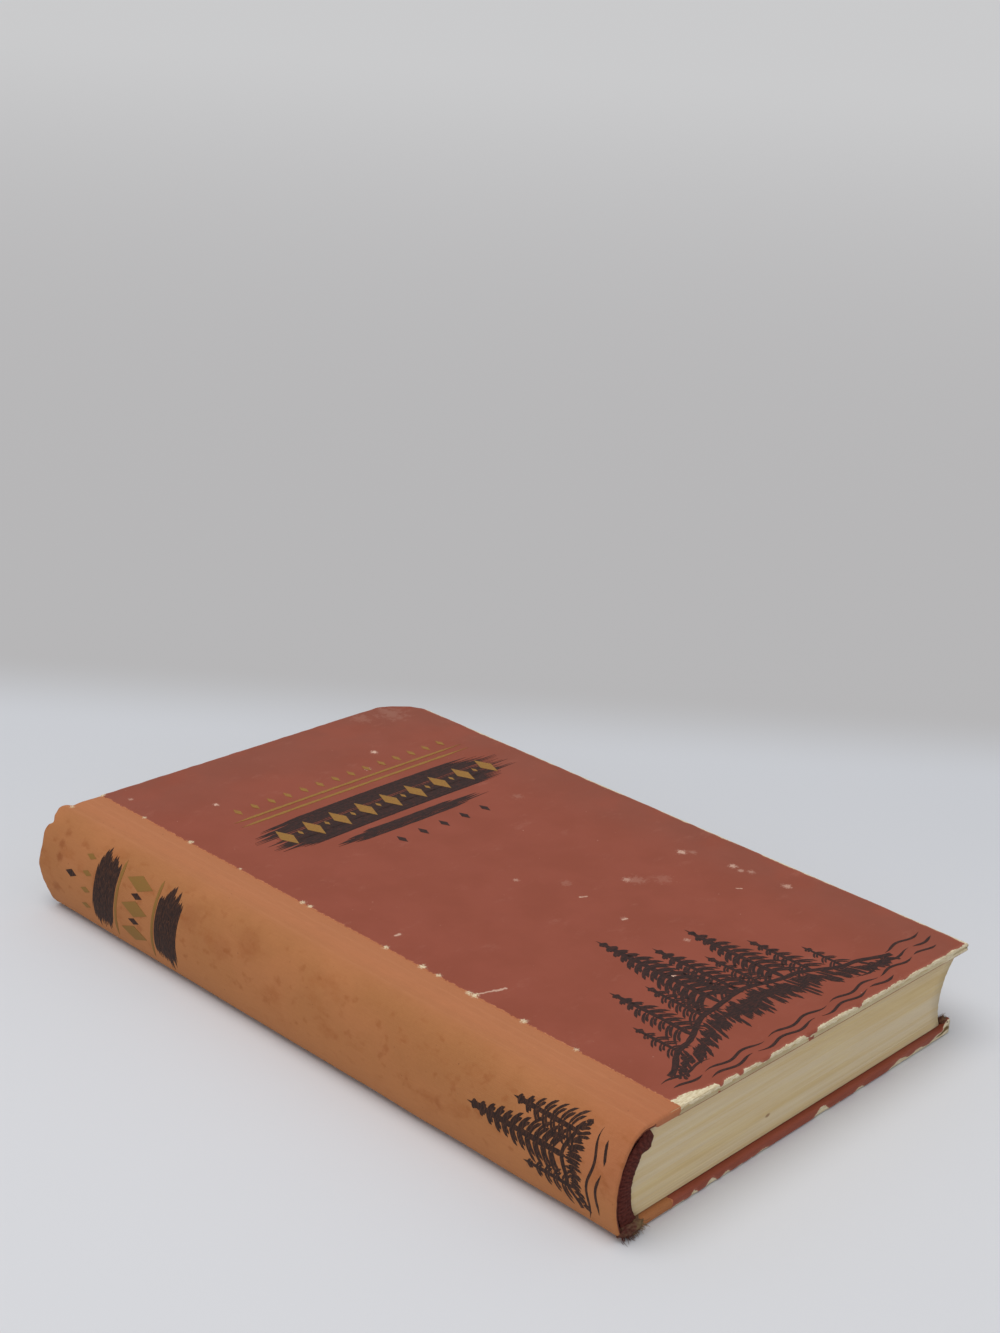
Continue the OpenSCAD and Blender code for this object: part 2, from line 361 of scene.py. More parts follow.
def make_mark():
    inputs = {"At": None, "Centre": None, "Radius": 1.0, "Ragged": 0.5, "Before": 0.0, "Strength": 1.0}
    group, given, out = new_group("mark", inputs, ["Mask"])
    away = vector_calc(group, "DISTANCE", given["At"], given["Centre"])
    bumps = swing(group, given["At"], calc(group, "DIVIDE", 2.4, given["Radius"]), 4.0, 0.7,
                  times(group, given["Ragged"], 5.0))
    share = calc(group, "ADD", calc(group, "DIVIDE", away, given["Radius"]), bumps)
    mask = times(group, fit(group, share, 1.0, 0.25), given["Strength"])
    feed(group, out["Mask"], calc(group, "MAXIMUM", mask, given["Before"]))
    return group


def make_scratch():
    inputs = {"At": None, "Start": None, "Way": None, "Length": 1.0, "Width": 0.3, "Before": 0.0}
    group, given, out = new_group("scratch", inputs, ["Mask"])
    reach = vector_calc(group, "SUBTRACT", given["At"], given["Start"], "Vector")
    along = vector_calc(group, "DOT_PRODUCT", reach, given["Way"])
    along = calc(group, "MINIMUM", calc(group, "MAXIMUM", along, 0.0), given["Length"])
    foot = put(group, "ShaderNodeVectorMath", {0: given["Way"], "Scale": along}, operation="SCALE")
    away = vector_calc(group, "DISTANCE", reach, foot.outputs["Vector"])
    share = calc(group, "DIVIDE", away, given["Width"])
    share = calc(group, "ADD", share, swing(group, given["At"], 1.1, 4.0, 0.75, 4.0))
    feed(group, out["Mask"], calc(group, "MAXIMUM", fit(group, share, 1.0, 0.3), given["Before"]))
    return group


weave_group, fibre_group, mark_group, scratch_group = make_weave(), make_fibres(), make_mark(), make_scratch()
print("groups:", [g.name for g in bpy.data.node_groups])


def marks(tree, at, places, ragged):
    """One mask with a soft mark at each (x, y, radius, strength)."""
    mask = 0.0
    for x, y, radius, strength in places:
        mask = use(tree, mark_group, At=at, Centre=(x, y, 0), Radius=radius, Ragged=ragged, Before=mask,
                   Strength=strength)["Mask"]
    return mask


def scratches(tree, at, lines):
    """One mask with a thin scratch for each (x, y, x, y, width)."""
    mask = 0.0
    for x0, y0, x1, y1, width in lines:
        way = Vector((x1 - x0, y1 - y0, 0))
        mask = use(tree, scratch_group, At=at, Start=(x0, y0, 0), Way=way.normalized(), Length=way.length,
                   Width=width, Before=mask)["Mask"]
    return mask


# %% [markdown]
# ## Materials
# The spine cloth is a plain weave. Outside it has faded to orange, with brown stains and a
# few age spots near the head. Where it is turned in, no light reached it and it is still
# maroon. The attribute `inside` says how far a point is turned in.

# %% Spine cloth
AGE_SPOTS = [(-8.5, 94.3, 1.7, 0.35), (-11.8, 95.0, 1.7, 0.7), (-15.4, 94.6, 1.8, 0.8), (-24.5, 95.6, 2.2, 0.5),
             (-12.0, 41.5, 5.0, 0.3), (-10.0, 19.5, 5.5, 0.25), (-15.0, 28.0, 4.5, 0.2)]
BARE_SPOTS = [(9.8, 102.4, 1.3, 1.0), (9.9, 64.1, 1.0, 1.0), (9.8, 20.0, 0.9, 0.9), (9.8, 17.2, 0.9, 0.9),
              (9.7, -10.2, 1.0, 0.9), (9.8, -22.7, 1.2, 1.0), (9.8, -28.2, 0.9, 0.9), (9.4, -38.6, 1.0, 0.9),
              (9.6, -40.3, 1.2, 1.0), (9.8, -55.8, 1.1, 0.9), (9.8, 44.0, 0.6, 0.7), (9.8, 83.5, 0.7, 0.8),
              (9.7, -72.0, 0.8, 0.7), (-1.0, 101.2, 0.8, 0.8)]
BARE_TONE = colour(220, 200, 166)
CREASES = [(5.8, 0.9), (3.2, 0.7), (-1.6, 1.1)]


def make_cloth():
    material, tree = new_material("faded spine cloth")
    at = on_sheet(tree)
    across, along, _ = apart(tree, at)
    weave = use(tree, weave_group, At=at, Pitch=0.42)
    clouds = fit(tree, speckle(tree, at, 0.045, 3.0), 0.35, 0.65)
    base = tint(tree, clouds, colour(164, 107, 62), colour(173, 112, 68))
    base = wash(tree, base, fit(tree, across, -7.0, 3.0), 0.75, colour(184, 116, 78))
    base = wash(tree, base, fit(tree, along, -72.0, -104.0), 0.7, colour(174, 104, 68))
    # The lower side of the spine is painted lighter, a painted highlight that makes up for the shade there.
    base = wash(tree, base, fit(tree, across, -14.0, -26.0), 0.8, colour(181, 119, 70))
    # Brown stains in the middle of the spine, in large patches and in small ones.
    middle = times(tree, fit(tree, across, -1.0, -9.0), fit(tree, across, -30.0, -22.0))
    patches = fit(tree, speckle(tree, stretch(tree, at, (1.0, 0.55, 1), (3, 8, 0)), 0.14, 4.0, 0.6), 0.5, 0.72)
    base = wash(tree, base, times(tree, patches, middle), 0.46, colour(150, 82, 32))
    stains = fit(tree, speckle(tree, stretch(tree, at, (1.0, 0.8, 1), (2, 5, 0)), 0.33, 2.0, 0.5), 0.56, 0.74)
    base = wash(tree, base, times(tree, stains, middle), 0.5, colour(146, 80, 34))
    grain = fit(tree, speckle(tree, at, 1.3, 4.0, 0.7), 0.35, 0.7)
    base = wash(tree, base, grain, 0.14, colour(186, 126, 82))
    # Pale creases along the joint.
    broken = fit(tree, speckle(tree, stretch(tree, at, (1.5, 0.02, 1)), 1.0, 3.0, 0.6), 0.35, 0.6)
    for place, wide in CREASES:
        beside = calc(tree, "ABSOLUTE", calc(tree, "SUBTRACT", across, place))
        base = wash(tree, base, times(tree, fit(tree, beside, wide, 0.1), broken), 0.13, colour(206, 140, 98))
    base = wash(tree, base, marks(tree, at, AGE_SPOTS, 0.2), 0.85, colour(134, 68, 28))
    base = wash(tree, base, weave["Thread"], 0.16, colour(150, 92, 56))
    base = tint(tree, marks(tree, at, BARE_SPOTS, 0.8), base, BARE_TONE)
    base = wash(tree, base, fit(tree, speckle(tree, at, 0.9, 1.0), 0.76, 0.8), 0.6, colour(110, 64, 40))
    maroon = tint(tree, weave["Thread"], colour(82, 34, 26), colour(110, 50, 38))
    # The back cover's folded edges carry a little `inside` and turn slightly maroon: partly less faded cloth,
    # partly painted shade.
    base = tint(tree, fit(tree, carried(tree, "inside"), 0.4, 0.6), base, maroon)
    return coat(material, base, 0.78, 0.3, Normal=bump(tree, weave["Height"], 0.35, 0.00008))


cloth_material = make_cloth()

# %% [markdown]
# The covers' paper is printed red all over, a little uneven, and scuffed. Where it is worn
# through, the cream board shows. The attribute `worn` is the distance, in millimetres, that
# a point lies inside such a place, and fine noise in the material makes its edge ragged.

# %% Printed paper
# Scuffs are (x, y, radius, strength), scratches are (x, y, x, y, width).
SCUFFS = [(53.0, -64.5, 1.6, 1.0), (108.8, -22.6, 1.6, 0.8), (111.0, -24.5, 1.4, 0.2), (112.9, -36.8, 1.4, 0.7),
          (112.4, -39.9, 1.1, 0.5), (114.0, -42.2, 1.3, 0.35), (114.6, -53.5, 1.6, 0.55), (90.1, -78.6, 0.8, 0.7),
          (86.0, -25.6, 2.8, 0.16), (84.2, -24.0, 1.6, 0.5), (61.1, -5.6, 1.0, 0.45), (66.7, -37.8, 1.2, 0.3),
          (70.3, -55.3, 1.1, 0.45), (89.4, 77.7, 1.3, 1.0), (79.5, 70.0, 1.2, 0.9), (30.0, 78.0, 1.0, 0.9),
          (92.0, -30.0, 3.0, 0.1), (100.0, 30.0, 2.0, 0.12), (70.0, -15.0, 2.0, 0.12),
          (14.0, 95.0, 0.9, 0.5), (114.0, 96.0, 6.0, 0.12), (104.0, 98.5, 4.0, 0.1)]
SCRATCHES = [(10.0, -40.2, 17.4, -42.8, 0.4), (14.8, -42.0, 17.4, -42.8, 0.6), (15.6, -7.4, 17.0, -7.6, 0.5),
             (66.8, -22.6, 68.6, -23.6, 0.4), (66.0, -37.9, 67.3, -38.3, 0.35),
             (103.0, -45.6, 104.0, -46.6, 0.3)]
BACK_SCRATCHES = [(38.0, -56.0, 42.0, -53.5, 0.6), (80.0, 40.0, 82.0, 42.2, 0.5), (98.0, -20.0, 99.2, -23.0, 0.6)]
BACK_SCUFFS = [(40.0, 30.0, 2.4, 0.4), (88.0, -52.0, 3.0, 0.35), (64.0, 70.0, 1.4, 0.7), (104.0, 12.0, 2.0, 0.5),
               (72.0, -8.0, 1.2, 0.6)]


def make_cover_paper(name, scuffs, lines, flecks, strip, core_from):
    material, tree = new_material(name)
    at = on_sheet(tree)
    x, y, z = apart(tree, at)
    fibres = use(tree, fibre_group, At=at, Size=1.0)
    # The print: an uneven red, rubbed and scuffed, and painted greyer towards the head and
    # the fore edge, a painted sheen.
    base = tint(tree, fibres["Cloud"], colour(140, 67, 45), colour(145, 71, 50))
    base = wash(tree, base, fit(tree, speckle(tree, at, 0.22, 5.0, 0.7), 0.4, 0.75), 0.16, colour(134, 64, 48))
    # A painted sheen: the red turns greyer towards the head and the fore edge.
    painted_sheen = calc(tree, "MAXIMUM", fit(tree, x, 98.0, 127.0), fit(tree, y, 62.0, 104.0))
    painted_sheen = times(tree, painted_sheen, fit(tree, speckle(tree, at, 0.05, 3.0), 0.3, 0.6))
    base = wash(tree, base, painted_sheen, 0.4, colour(124, 72, 56))
    rub = fit(tree, speckle(tree, stretch(tree, at, (0.5, 1.0, 1), (9, 4, 0)), 0.16, 6.0, 0.75), 0.56, 0.8)
    base = wash(tree, base, rub, 0.35, colour(176, 116, 98))
    base = wash(tree, base, fit(tree, speckle(tree, at, 0.7, 1.0), 0.78, 0.82), 0.5, colour(205, 160, 142))
    base = tint(tree, marks(tree, at, scuffs, 0.7), base, colour(214, 176, 156))
    base = wash(tree, base, scratches(tree, at, lines), 0.7, colour(214, 180, 158))
    # Where it is worn through: a pale halo, then fuzzy cream board and its tan core below.
    field = calc(tree, "ADD", carried(tree, "worn"), swing(tree, at, 1.1, 4.0, 0.65, 0.9))
    through = fit(tree, field, -0.05, 0.05)
    base = wash(tree, base, fit(tree, field, -0.8, 0.0), 0.38, colour(180, 110, 92))
    fuzz = speckle(tree, stretch(tree, at, (0.35, 1.2, 3.0)), 1.6, 5.0, 0.7)
    cream = tint(tree, fit(tree, fuzz, 0.3, 0.7), colour(196, 176, 138), colour(232, 220, 190))
    deep = calc(tree, "SUBTRACT", swing(tree, at, 0.45, 3.0, 0.6, 2.4), z)
    core = times(tree, fit(tree, deep, core_from, core_from + 0.25), fit(tree, x, 117.0, 108.0))
    base = tint(tree, through, base, tint(tree, core, cream, colour(192, 168, 122)))
    # The split in the board at the tail corner is painted dark brown: painted shade in the gap.
    split = soft_spot(tree, at, (BOARD_W, -HALF_H, -1.3), (0.16, 0.5, 1.5), 0.34, 0.6)
    base = wash(tree, base, split, through, colour(112, 86, 44))
    # Past the frayed inner edge of the paper the cloth strip shows, with flecks of bare board.
    frayed = calc(tree, "ADD", x, swing(tree, at, 0.7, 5.0, 0.8, 2.6))
    bare = fit(tree, frayed, JOINT_W + strip + 0.04, JOINT_W + strip - 0.04)
    base = tint(tree, bare, base, colour(184, 116, 76))
    base = tint(tree, marks(tree, at, flecks, 0.8), base, BARE_TONE)
    height = calc(tree, "SUBTRACT", times(tree, fibres["Height"], 0.25), times(tree, through, 0.6))
    height = calc(tree, "ADD", height, times(tree, times(tree, fuzz, through), 0.8))
    roughness = tint(tree, through, (0.6, 0.6, 0.6, 1), (0.9, 0.9, 0.9, 1))
    return coat(material, base, roughness, 0.32, Normal=bump(tree, height, 0.6, 0.00012))


# The last number is the depth at which the tan core starts. The back shows none.
front_paper_material = make_cover_paper("worn red paper front", SCUFFS, SCRATCHES, BARE_SPOTS, FRONT_STRIP, 0.95)
back_paper_material = make_cover_paper("worn red paper back", BACK_SCUFFS, BACK_SCRATCHES, [], BACK_STRIP, 9.0)

# %% [markdown]
# The pages have yellowed from their edges inwards. Seen from the end they are hundreds of
# thin lines in soft bands of warm and grey tan, one band for every few folded sections. The
# endleaves have browned along their edges. Board, card and linings are plain papers.

# %% Pages, endleaves and card
def make_page_edges():
    material, tree = new_material("page edges")
    at = on_sheet(tree)
    bands = speckle(tree, stretch(tree, at, (0.006, 0.0, 0.3)), 1.0, 3.0, 0.6)
    lines = speckle(tree, stretch(tree, at, (0.02, 0.02, 6.0), (5, 0, 0)), 1.0, 3.0, 0.7)
    clouds = speckle(tree, stretch(tree, at, (0.05, 0.02, 0.3)), 1.0, 3.0)
    base = tint(tree, fit(tree, bands, 0.36, 0.64), colour(208, 182, 132), colour(214, 196, 164))
    base = wash(tree, base, fit(tree, clouds, 0.4, 0.7), 0.4, colour(218, 198, 152))
    base = wash(tree, base, fit(tree, lines, 0.45, 0.75), 0.24, colour(170, 142, 98))
    spot = soft_spot(tree, at, (45.9, -101, 4.4), (0.45, 0.3, 0.9), 0.2, 0.55)
    base = wash(tree, base, spot, 0.8, colour(140, 100, 62))
    return coat(material, base, 0.85, Normal=bump(tree, lines, 0.4, 0.00006))


def make_endleaf_paper():
    material, tree = new_material("endleaf paper")
    at = on_sheet(tree)
    across, along, _ = apart(tree, at)
    fibres = use(tree, fibre_group, At=at, Size=1.2)
    base = tint(tree, fibres["Cloud"], colour(222, 208, 172), colour(214, 198, 158))
    ends = fit(tree, calc(tree, "ABSOLUTE", along), 80.0, 103.0)
    rim = calc(tree, "MAXIMUM", ends, fit(tree, across, 98.0, 126.0))
    base = wash(tree, base, rim, 0.5, colour(190, 164, 114))
    foxing = fit(tree, speckle(tree, at, 0.12, 4.0, 0.6), 0.62, 0.75)
    base = wash(tree, base, foxing, 0.4, colour(176, 138, 88))
    return coat(material, base, 0.8, Normal=bump(tree, fibres["Height"], 0.25, 0.00006))


def make_plain_paper(name, light, dark, size=1.0):
    material, tree = new_material(name)
    place = put(tree, "ShaderNodeTexCoord").outputs["Object"]
    fibres = use(tree, fibre_group, At=stretch(tree, place, (1000, 1000, 1000)), Size=size)
    base = tint(tree, fibres["Cloud"], light, dark)
    base = wash(tree, base, fit(tree, fibres["Height"], 0.35, 0.7), 0.3, dark)
    return coat(material, base, 0.85, Normal=bump(tree, fibres["Height"], 0.3, 0.00008))


page_material, endleaf_material = make_page_edges(), make_endleaf_paper()
card_material = make_plain_paper("board and card", colour(206, 190, 152), colour(176, 156, 118), 1.4)
lining_material = make_plain_paper("spine lining paper", colour(176, 154, 118), colour(150, 126, 92))
gauze_material = make_plain_paper("spine gauze", colour(206, 198, 176), colour(176, 164, 138), 0.6)

# %% [markdown]
# ## Small making helpers
# A piece is shaped in millimetres and scaled to metres at the end. `lay_grid` starts from
# Blender's grid and moves its points to where a place function says, which is how a sheet is
# bent round an edge. Every point keeps its place on the flat sheet as `at`.


# %% Sheet helpers
def lay_grid(us, vs, place, bm=None):
    """A grid whose point (u, v) is moved to place(u, v) = (position, place on the sheet)."""
    if bm is None:
        bm = bmesh.new()
        bm.verts.layers.float_vector.new("at")
    at = bm.verts.layers.float_vector["at"]
    fresh = bmesh.ops.create_grid(bm, x_segments=len(us) - 1, y_segments=len(vs) - 1, size=1.0)["verts"]
    for vert in fresh:
        i = round((vert.co.x + 1) / 2 * (len(us) - 1))
        j = round((vert.co.y + 1) / 2 * (len(vs) - 1))
        vert.co, vert[at] = place(us[i], vs[j])
    return bm


def make_piece(bm, name, material, flip=False):
    if flip:
        bmesh.ops.reverse_faces(bm, faces=bm.faces)
    bmesh.ops.scale(bm, vec=(MM, MM, MM), verts=bm.verts)
    mesh = bpy.data.meshes.new(name)
    bm.to_mesh(mesh)
    bm.free()
    mesh.materials.append(material)
    mesh.shade_smooth()
    piece = bpy.data.objects.new(name, mesh)
    bpy.context.collection.objects.link(piece)
    print(name, "has", len(mesh.polygons), "faces")
    return piece


def thicken(piece, thickness, offset=-1.0):
    modifier = piece.modifiers.new("thickness", "SOLIDIFY")
    modifier.thickness = thickness * MM
    modifier.offset = offset
    modifier.use_even_offset = False


def face_out(bm, near, way):
    """Turn all the faces over if the one nearest to a point looks against the way out."""
    bm.normal_update()
    sample = min(bm.faces, key=lambda f: (f.calc_center_median() - Vector(near)).length)
    if sample.normal.dot(Vector(way)) < 0:
        bmesh.ops.reverse_faces(bm, faces=bm.faces)


# %% [markdown]
# ## Pages
# The block is a stack of folded sections, rounded at the spine and hollow at the fore edge.
# Its cross-section is a grid with two rows of points for each leaf, so that every leaf can
# stand out a little or lie back. Extruding the section from tail to head makes the block.

# %% Block of pages
# The attribute `at` holds the height in the section as a number from 0 to ACROSS.
LEAVES, ACROSS = 230, 20
TAIL_Y, HEAD_Y = -HALF_H + TAIL_SQUARE, HALF_H - HEAD_SQUARE
FORE_X = COVER_END - FORE_SQUARE
FOLD_BOW, FORE_BOW = 4.0, 3.3
# The corners of the section, in x from the hinge line and height over the table.
BLOCK_TOP = SPINE_H - BLOCK_DEPTH / math.cos(slope)
FOLD_LOW = Vector((-LEAN - SHOULDER_W, BLOCK_DEPTH))
FOLD_HIGH = Vector((-SHOULDER_W, BLOCK_TOP + SHOULDER_W * math.tan(slope)))
FORE_LOW = Vector((FORE_X - LEAN, BLOCK_DEPTH))
FORE_HIGH = Vector((FORE_X, BLOCK_TOP - FORE_X * math.tan(slope)))


def bowed(low, high, bow, share):
    """A point on the arc over the chord from low to high, which bows towards the spine."""
    chord = high - low
    radius = (chord.length ** 2 / 4 + bow * bow) / (2 * bow)
    s = (share - 0.5) * chord.length
    sag = math.sqrt(radius * radius - s * s) - (radius - bow)
    side = Vector((-chord.y, chord.x)).normalized()
    return low.lerp(high, share) + side * sag


def leaf_place(share, across):
    left = bowed(FOLD_LOW, FOLD_HIGH, FOLD_BOW, across)
    right = bowed(FORE_LOW, FORE_HIGH, FORE_BOW, across)
    return left.lerp(right, share)


def make_pages():
    rows = [0.0] + [(k + part) / LEAVES for k in range(LEAVES) for part in (0.2, 0.8)] + [1.0]
    columns = spaced(0.0, 1.0, 1 / 26)

    def place(share, across):
        spot = leaf_place(share, across)
        return Vector((hinge_x + spot.x, TAIL_Y, spot.y)), Vector((spot.x, TAIL_Y, across * ACROSS))

    bm = lay_grid(columns, rows, place)
    at = bm.verts.layers.float_vector["at"]
    grown = bmesh.ops.extrude_face_region(bm, geom=bm.faces[:])
    far = [g for g in grown["geom"] if isinstance(g, bmesh.types.BMVert)]
    bmesh.ops.translate(bm, verts=far, vec=(0, HEAD_Y - TAIL_Y, 0))
    long_edges = [e for e in bm.edges if abs(e.verts[0].co.y - e.verts[1].co.y) > 1]
    bmesh.ops.subdivide_edges(bm, edges=long_edges, cuts=27, use_grid_fill=False)
    bm.normal_update()
    for vert in bm.verts:
        across = vert[at].z / ACROSS
        leaf = math.floor(across * LEAVES)
        x, y = vert.co.x - hinge_x, vert.co.y
        vert[at] = Vector((x, y, across * ACROSS))
        own = 0.05 * rough(leaf * 7.3, x, 0, 40.0) + 0.035 * rough(leaf * 3.1, 0, 5.0)
        section = 0.10 * rough(leaf / 14.0, 0, 2.0, 1.0)
        if y < TAIL_Y + 0.01:
            vert.co.y += (own + section) * 0.9
        elif y > HEAD_Y - 0.01:
            vert.co.y -= (own + section) * 0.9
        if x > 60 and 0 < across < 1:
            edge = leaf_place(1.0, across).x
            if x > edge - 0.01:
                vert.co.x += 0.07 * rough(leaf * 5.7, y, 3.0, 60.0) + 0.05 * rough(leaf / 11.0, y / 50, 7.0)
    bmesh.ops.recalc_face_normals(bm, faces=bm.faces)
    pages = make_piece(bm, "page_block", page_material)
    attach(pages, "book_block")
    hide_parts("text_block")


make_pages()

# %% [markdown]
# ## Endleaves
# One folded sheet joins the block to each cover. One half, the flyleaf, lies loose on the
# pages. The other is the pastedown, pasted to the board. Between them the sheet rises from the
# pages, passes close under the hinge and goes back to the board. It is made as two grids: the
# flyleaf, which stays on the block, and the pastedown with its joint. What lies near the hinge
# turns in a small roll, and covers the cloth.


# %% Endleaves
# The outline of a knocked corner, as shares of its size: back from the end, and down.
KNOCK_STEPS = ((1.1, 0.0), (0.72, 0.16), (0.24, 0.55), (0.0, 1.0))


def knocked(x, end, half, knock):
    """How far towards the head a sheet reaches at x, with its fore-edge corner knocked off."""
    if x <= end - KNOCK_STEPS[0][0] * knock:
        return half
    for (a, down_a), (b, down_b) in zip(KNOCK_STEPS, KNOCK_STEPS[1:]):
        if x <= end - b * knock + 1e-6:
            share = (x - (end - a * knock)) / ((a - b) * knock)
            return half - mix(down_a, down_b, share) * knock
    return half - knock


# (x, depth) of the sheet from the block, close under the hinge line, to the board.
JOINT_PATH = ((-0.9, 2.84), (-0.3, 2.84), (0.2, 2.76), (0.42, 2.5), (0.5, 2.0), (0.5, 1.5), (0.55, 1.15),
              (0.7, 1.0), (0.85, 0.98), (1.0, 1.0), (1.15, 1.05), (1.3, 1.15), (1.6, 1.4), (1.95, 1.8),
              (2.25, 2.2))
FLY_DEPTH, PASTE_DEPTH = LEAF_DEPTH + 0.1, EDGE_T + 0.1
LEAF_T, PASTE_INSET = 0.16, 3
# From this far up and down the sheet it passes under the cloth's turn-in, over this length.
TURN_IN_AT, TURN_IN_OVER = 93.5, 4.5


def joint_spot(step, y):
    """(x, depth) of the sheet in the joint. Near head and tail it passes under the turned-in cloth."""
    x, depth = JOINT_PATH[step]
    done = step / len(JOINT_PATH)
    flat_x, flat_depth = mix(JOINT_PATH[0][0], JOINT_W, done), mix(JOINT_PATH[0][1], PASTE_DEPTH, done)
    flat_depth -= 0.4 * smooth(1 - abs(flat_x - 1.0) / 1.0)
    flat = smooth((abs(y) - TURN_IN_AT) / TURN_IN_OVER)
    return mix(x, flat_x, flat), mix(depth, flat_depth, flat)


def turn_with(piece, body):
    """Bake the piece's place into its mesh. Front and back pieces are treated alike."""
    if body == "front_cover":
        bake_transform(piece)
    else:
        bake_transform(piece)


def make_flyleaf(name, side_frame, fore_end, node):
    def place(x, y):
        return side_frame @ Vector((x, y, -FLY_DEPTH)), Vector((x, y, FLY_DEPTH))

    bm = lay_grid(spaced(-SHOULDER_W, fore_end, 4.0)[::-1], spaced(TAIL_Y, HEAD_Y, 4.0), place)
    sheet = make_piece(bm, name, endleaf_material)
    thicken(sheet, LEAF_T, 0.0)
    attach(sheet, "book_block")
    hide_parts(node)


def make_pastedown(name, side_frame, knock, body, node):
    paste_half = HALF_H - WRAP - PASTE_INSET
    paste_end = JOINT_W + BOARD_W - PASTE_INSET
    steps = len(JOINT_PATH)
    us = [("joint", step) for step in range(steps)]
    us += [("pasted", x) for x in spaced(JOINT_W, paste_end, 2.4)]
    vs = spaced(0.0, 0.06, 0.01) + spaced(0.06, 0.94, 1 / 50)[1:] + spaced(0.94, 1.0, 0.01)[1:]

    def place(u, v):
        kind, x = u
        if kind == "pasted":
            y, depth = mix(-paste_half, knocked(x, paste_end, paste_half, knock), v), PASTE_DEPTH
        else:
            y = mix(mix(TAIL_Y, -paste_half, x / steps), mix(HEAD_Y, paste_half, x / steps), v)
            x, depth = joint_spot(x, y)
        return side_frame @ Vector((x, y, -depth)), Vector((x, y, depth))

    bm = lay_grid(us, vs, place)
    sheet = make_piece(bm, name, endleaf_material)
    thicken(sheet, LEAF_T, 0.0)
    turn_with(sheet, body)
    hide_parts(node)


make_flyleaf("front_loose_leaf", front_frame, FORE_HIGH.x, "front_flyleaf")
make_flyleaf("back_loose_leaf", back_frame, FORE_LOW.x + LEAN, "back_flyleaf")
make_pastedown("front_pasted_leaf", front_frame, FRONT_KNOCK, "front_cover", "front_pastedown")
make_pastedown("back_pasted_leaf", back_frame, BACK_KNOCK, "back_cover", "back_pastedown")

# %% [markdown]
# ## Covers
# Paper is pasted on the board and turned in over its edges. The outer face is a grid whose
# rows and columns stand closer together near the edges. Its rim is extruded in small steps
# over the rounded edge, down the side and in under the board. Then the points near the edges
# are pressed in where the paper has worn away, and remember by how much.

# %% Covering paper
EDGE_R, PAPER_T = 0.7, 0.25
# The paper laps over the cloth strip. Within FINE_ZONE of the tail and fore edges its grid is finer.
PAPER_LAP, FINE_ZONE, FINE_HEAD = 0.25, 4, 3
# From this depth on the paper is the turn-in, which shows no wear.
UNDERSIDE = EDGE_T - 0.3


def turned_edge():
    """Steps of (out, depth) over the rim: a quarter turn, the side, a quarter turn, the turn-in."""
    low, inward = EDGE_T - EDGE_R, TURN_IN - EDGE_R
    steps = [(EDGE_R * math.sin(a), EDGE_R * (1 - math.cos(a))) for a in map(math.radians, (20, 45, 70, 90))]
    steps += [(EDGE_R, EDGE_R + (EDGE_T - 2 * EDGE_R) * share) for share in (0.2, 0.4, 0.6, 0.8, 1.0)]
    steps += [(EDGE_R * math.cos(a), low + EDGE_R * math.sin(a)) for a in map(math.radians, (30, 60, 90))]
    return steps + [(-inward * share, EDGE_T) for share in (0.1, 0.25, 0.5, 1.0)]


def rim_normals(edges):
    """The outward direction of each point of a rim in plan, mitred where two sides meet."""
    sides = {}
    for edge in edges:
        face = edge.link_faces[0]
        centre = face.calc_center_median()
        run = (edge.verts[1].co - edge.verts[0].co).normalized()
        side = Vector((run.y, -run.x, 0))
        if side.dot(centre - edge.verts[0].co) > 0:
            side = -side
        for vert in edge.verts:
            sides.setdefault(vert, []).append(side)
    return {vert: found[0] if len(found) == 1 else (found[0] + found[1]) / (1 + found[0].dot(found[1]))
            for vert, found in sides.items()}


def turn_over(bm, rim):
    """Extrude the rim over the rounded edge, down the side and in under the board."""
    normals = rim_normals(rim)
    home = {vert: vert.co.copy() for vert in normals}
    ring = rim
    for out, depth in turned_edge():
        grown = bmesh.ops.extrude_edge_only(bm, edges=ring)["geom"]
        fresh = {g for g in grown if isinstance(g, bmesh.types.BMVert)}
        before = {v for e in ring for v in e.verts}
        for vert in fresh:
            old = next(e.other_vert(vert) for e in vert.link_edges if e.other_vert(vert) in before)
            start, normal = home[vert], normals[vert] = home[old], normals[old]
            spot = start + normal * out
            if out < 0:
                goal = Vector((min(start.x, COVER_END - TURN_IN),
                               max(-HALF_H + TURN_IN, min(HALF_H - TURN_IN, start.y)), 0))
                spot = start.lerp(goal, -out / (TURN_IN - EDGE_R))
            vert.co = Vector((spot.x, spot.y, -depth))
        ring = [g for g in grown if isinstance(g, bmesh.types.BMEdge) and all(v in fresh for v in g.verts)]


def press_way(x, y, depth):
    """Which way worn paper is pressed: down on the face, inwards on the side, aslant between."""
    down = Vector((0, 0, -1))
    if depth < 0.05:
        return down
    at_fore = x > COVER_END - EDGE_R - 0.01
    inward = -(Vector((x - 60, 0, 0)) if at_fore else Vector((0, y, 0))).normalized()
    return inward if depth > EDGE_R * 0.9 else (inward + down).normalized()


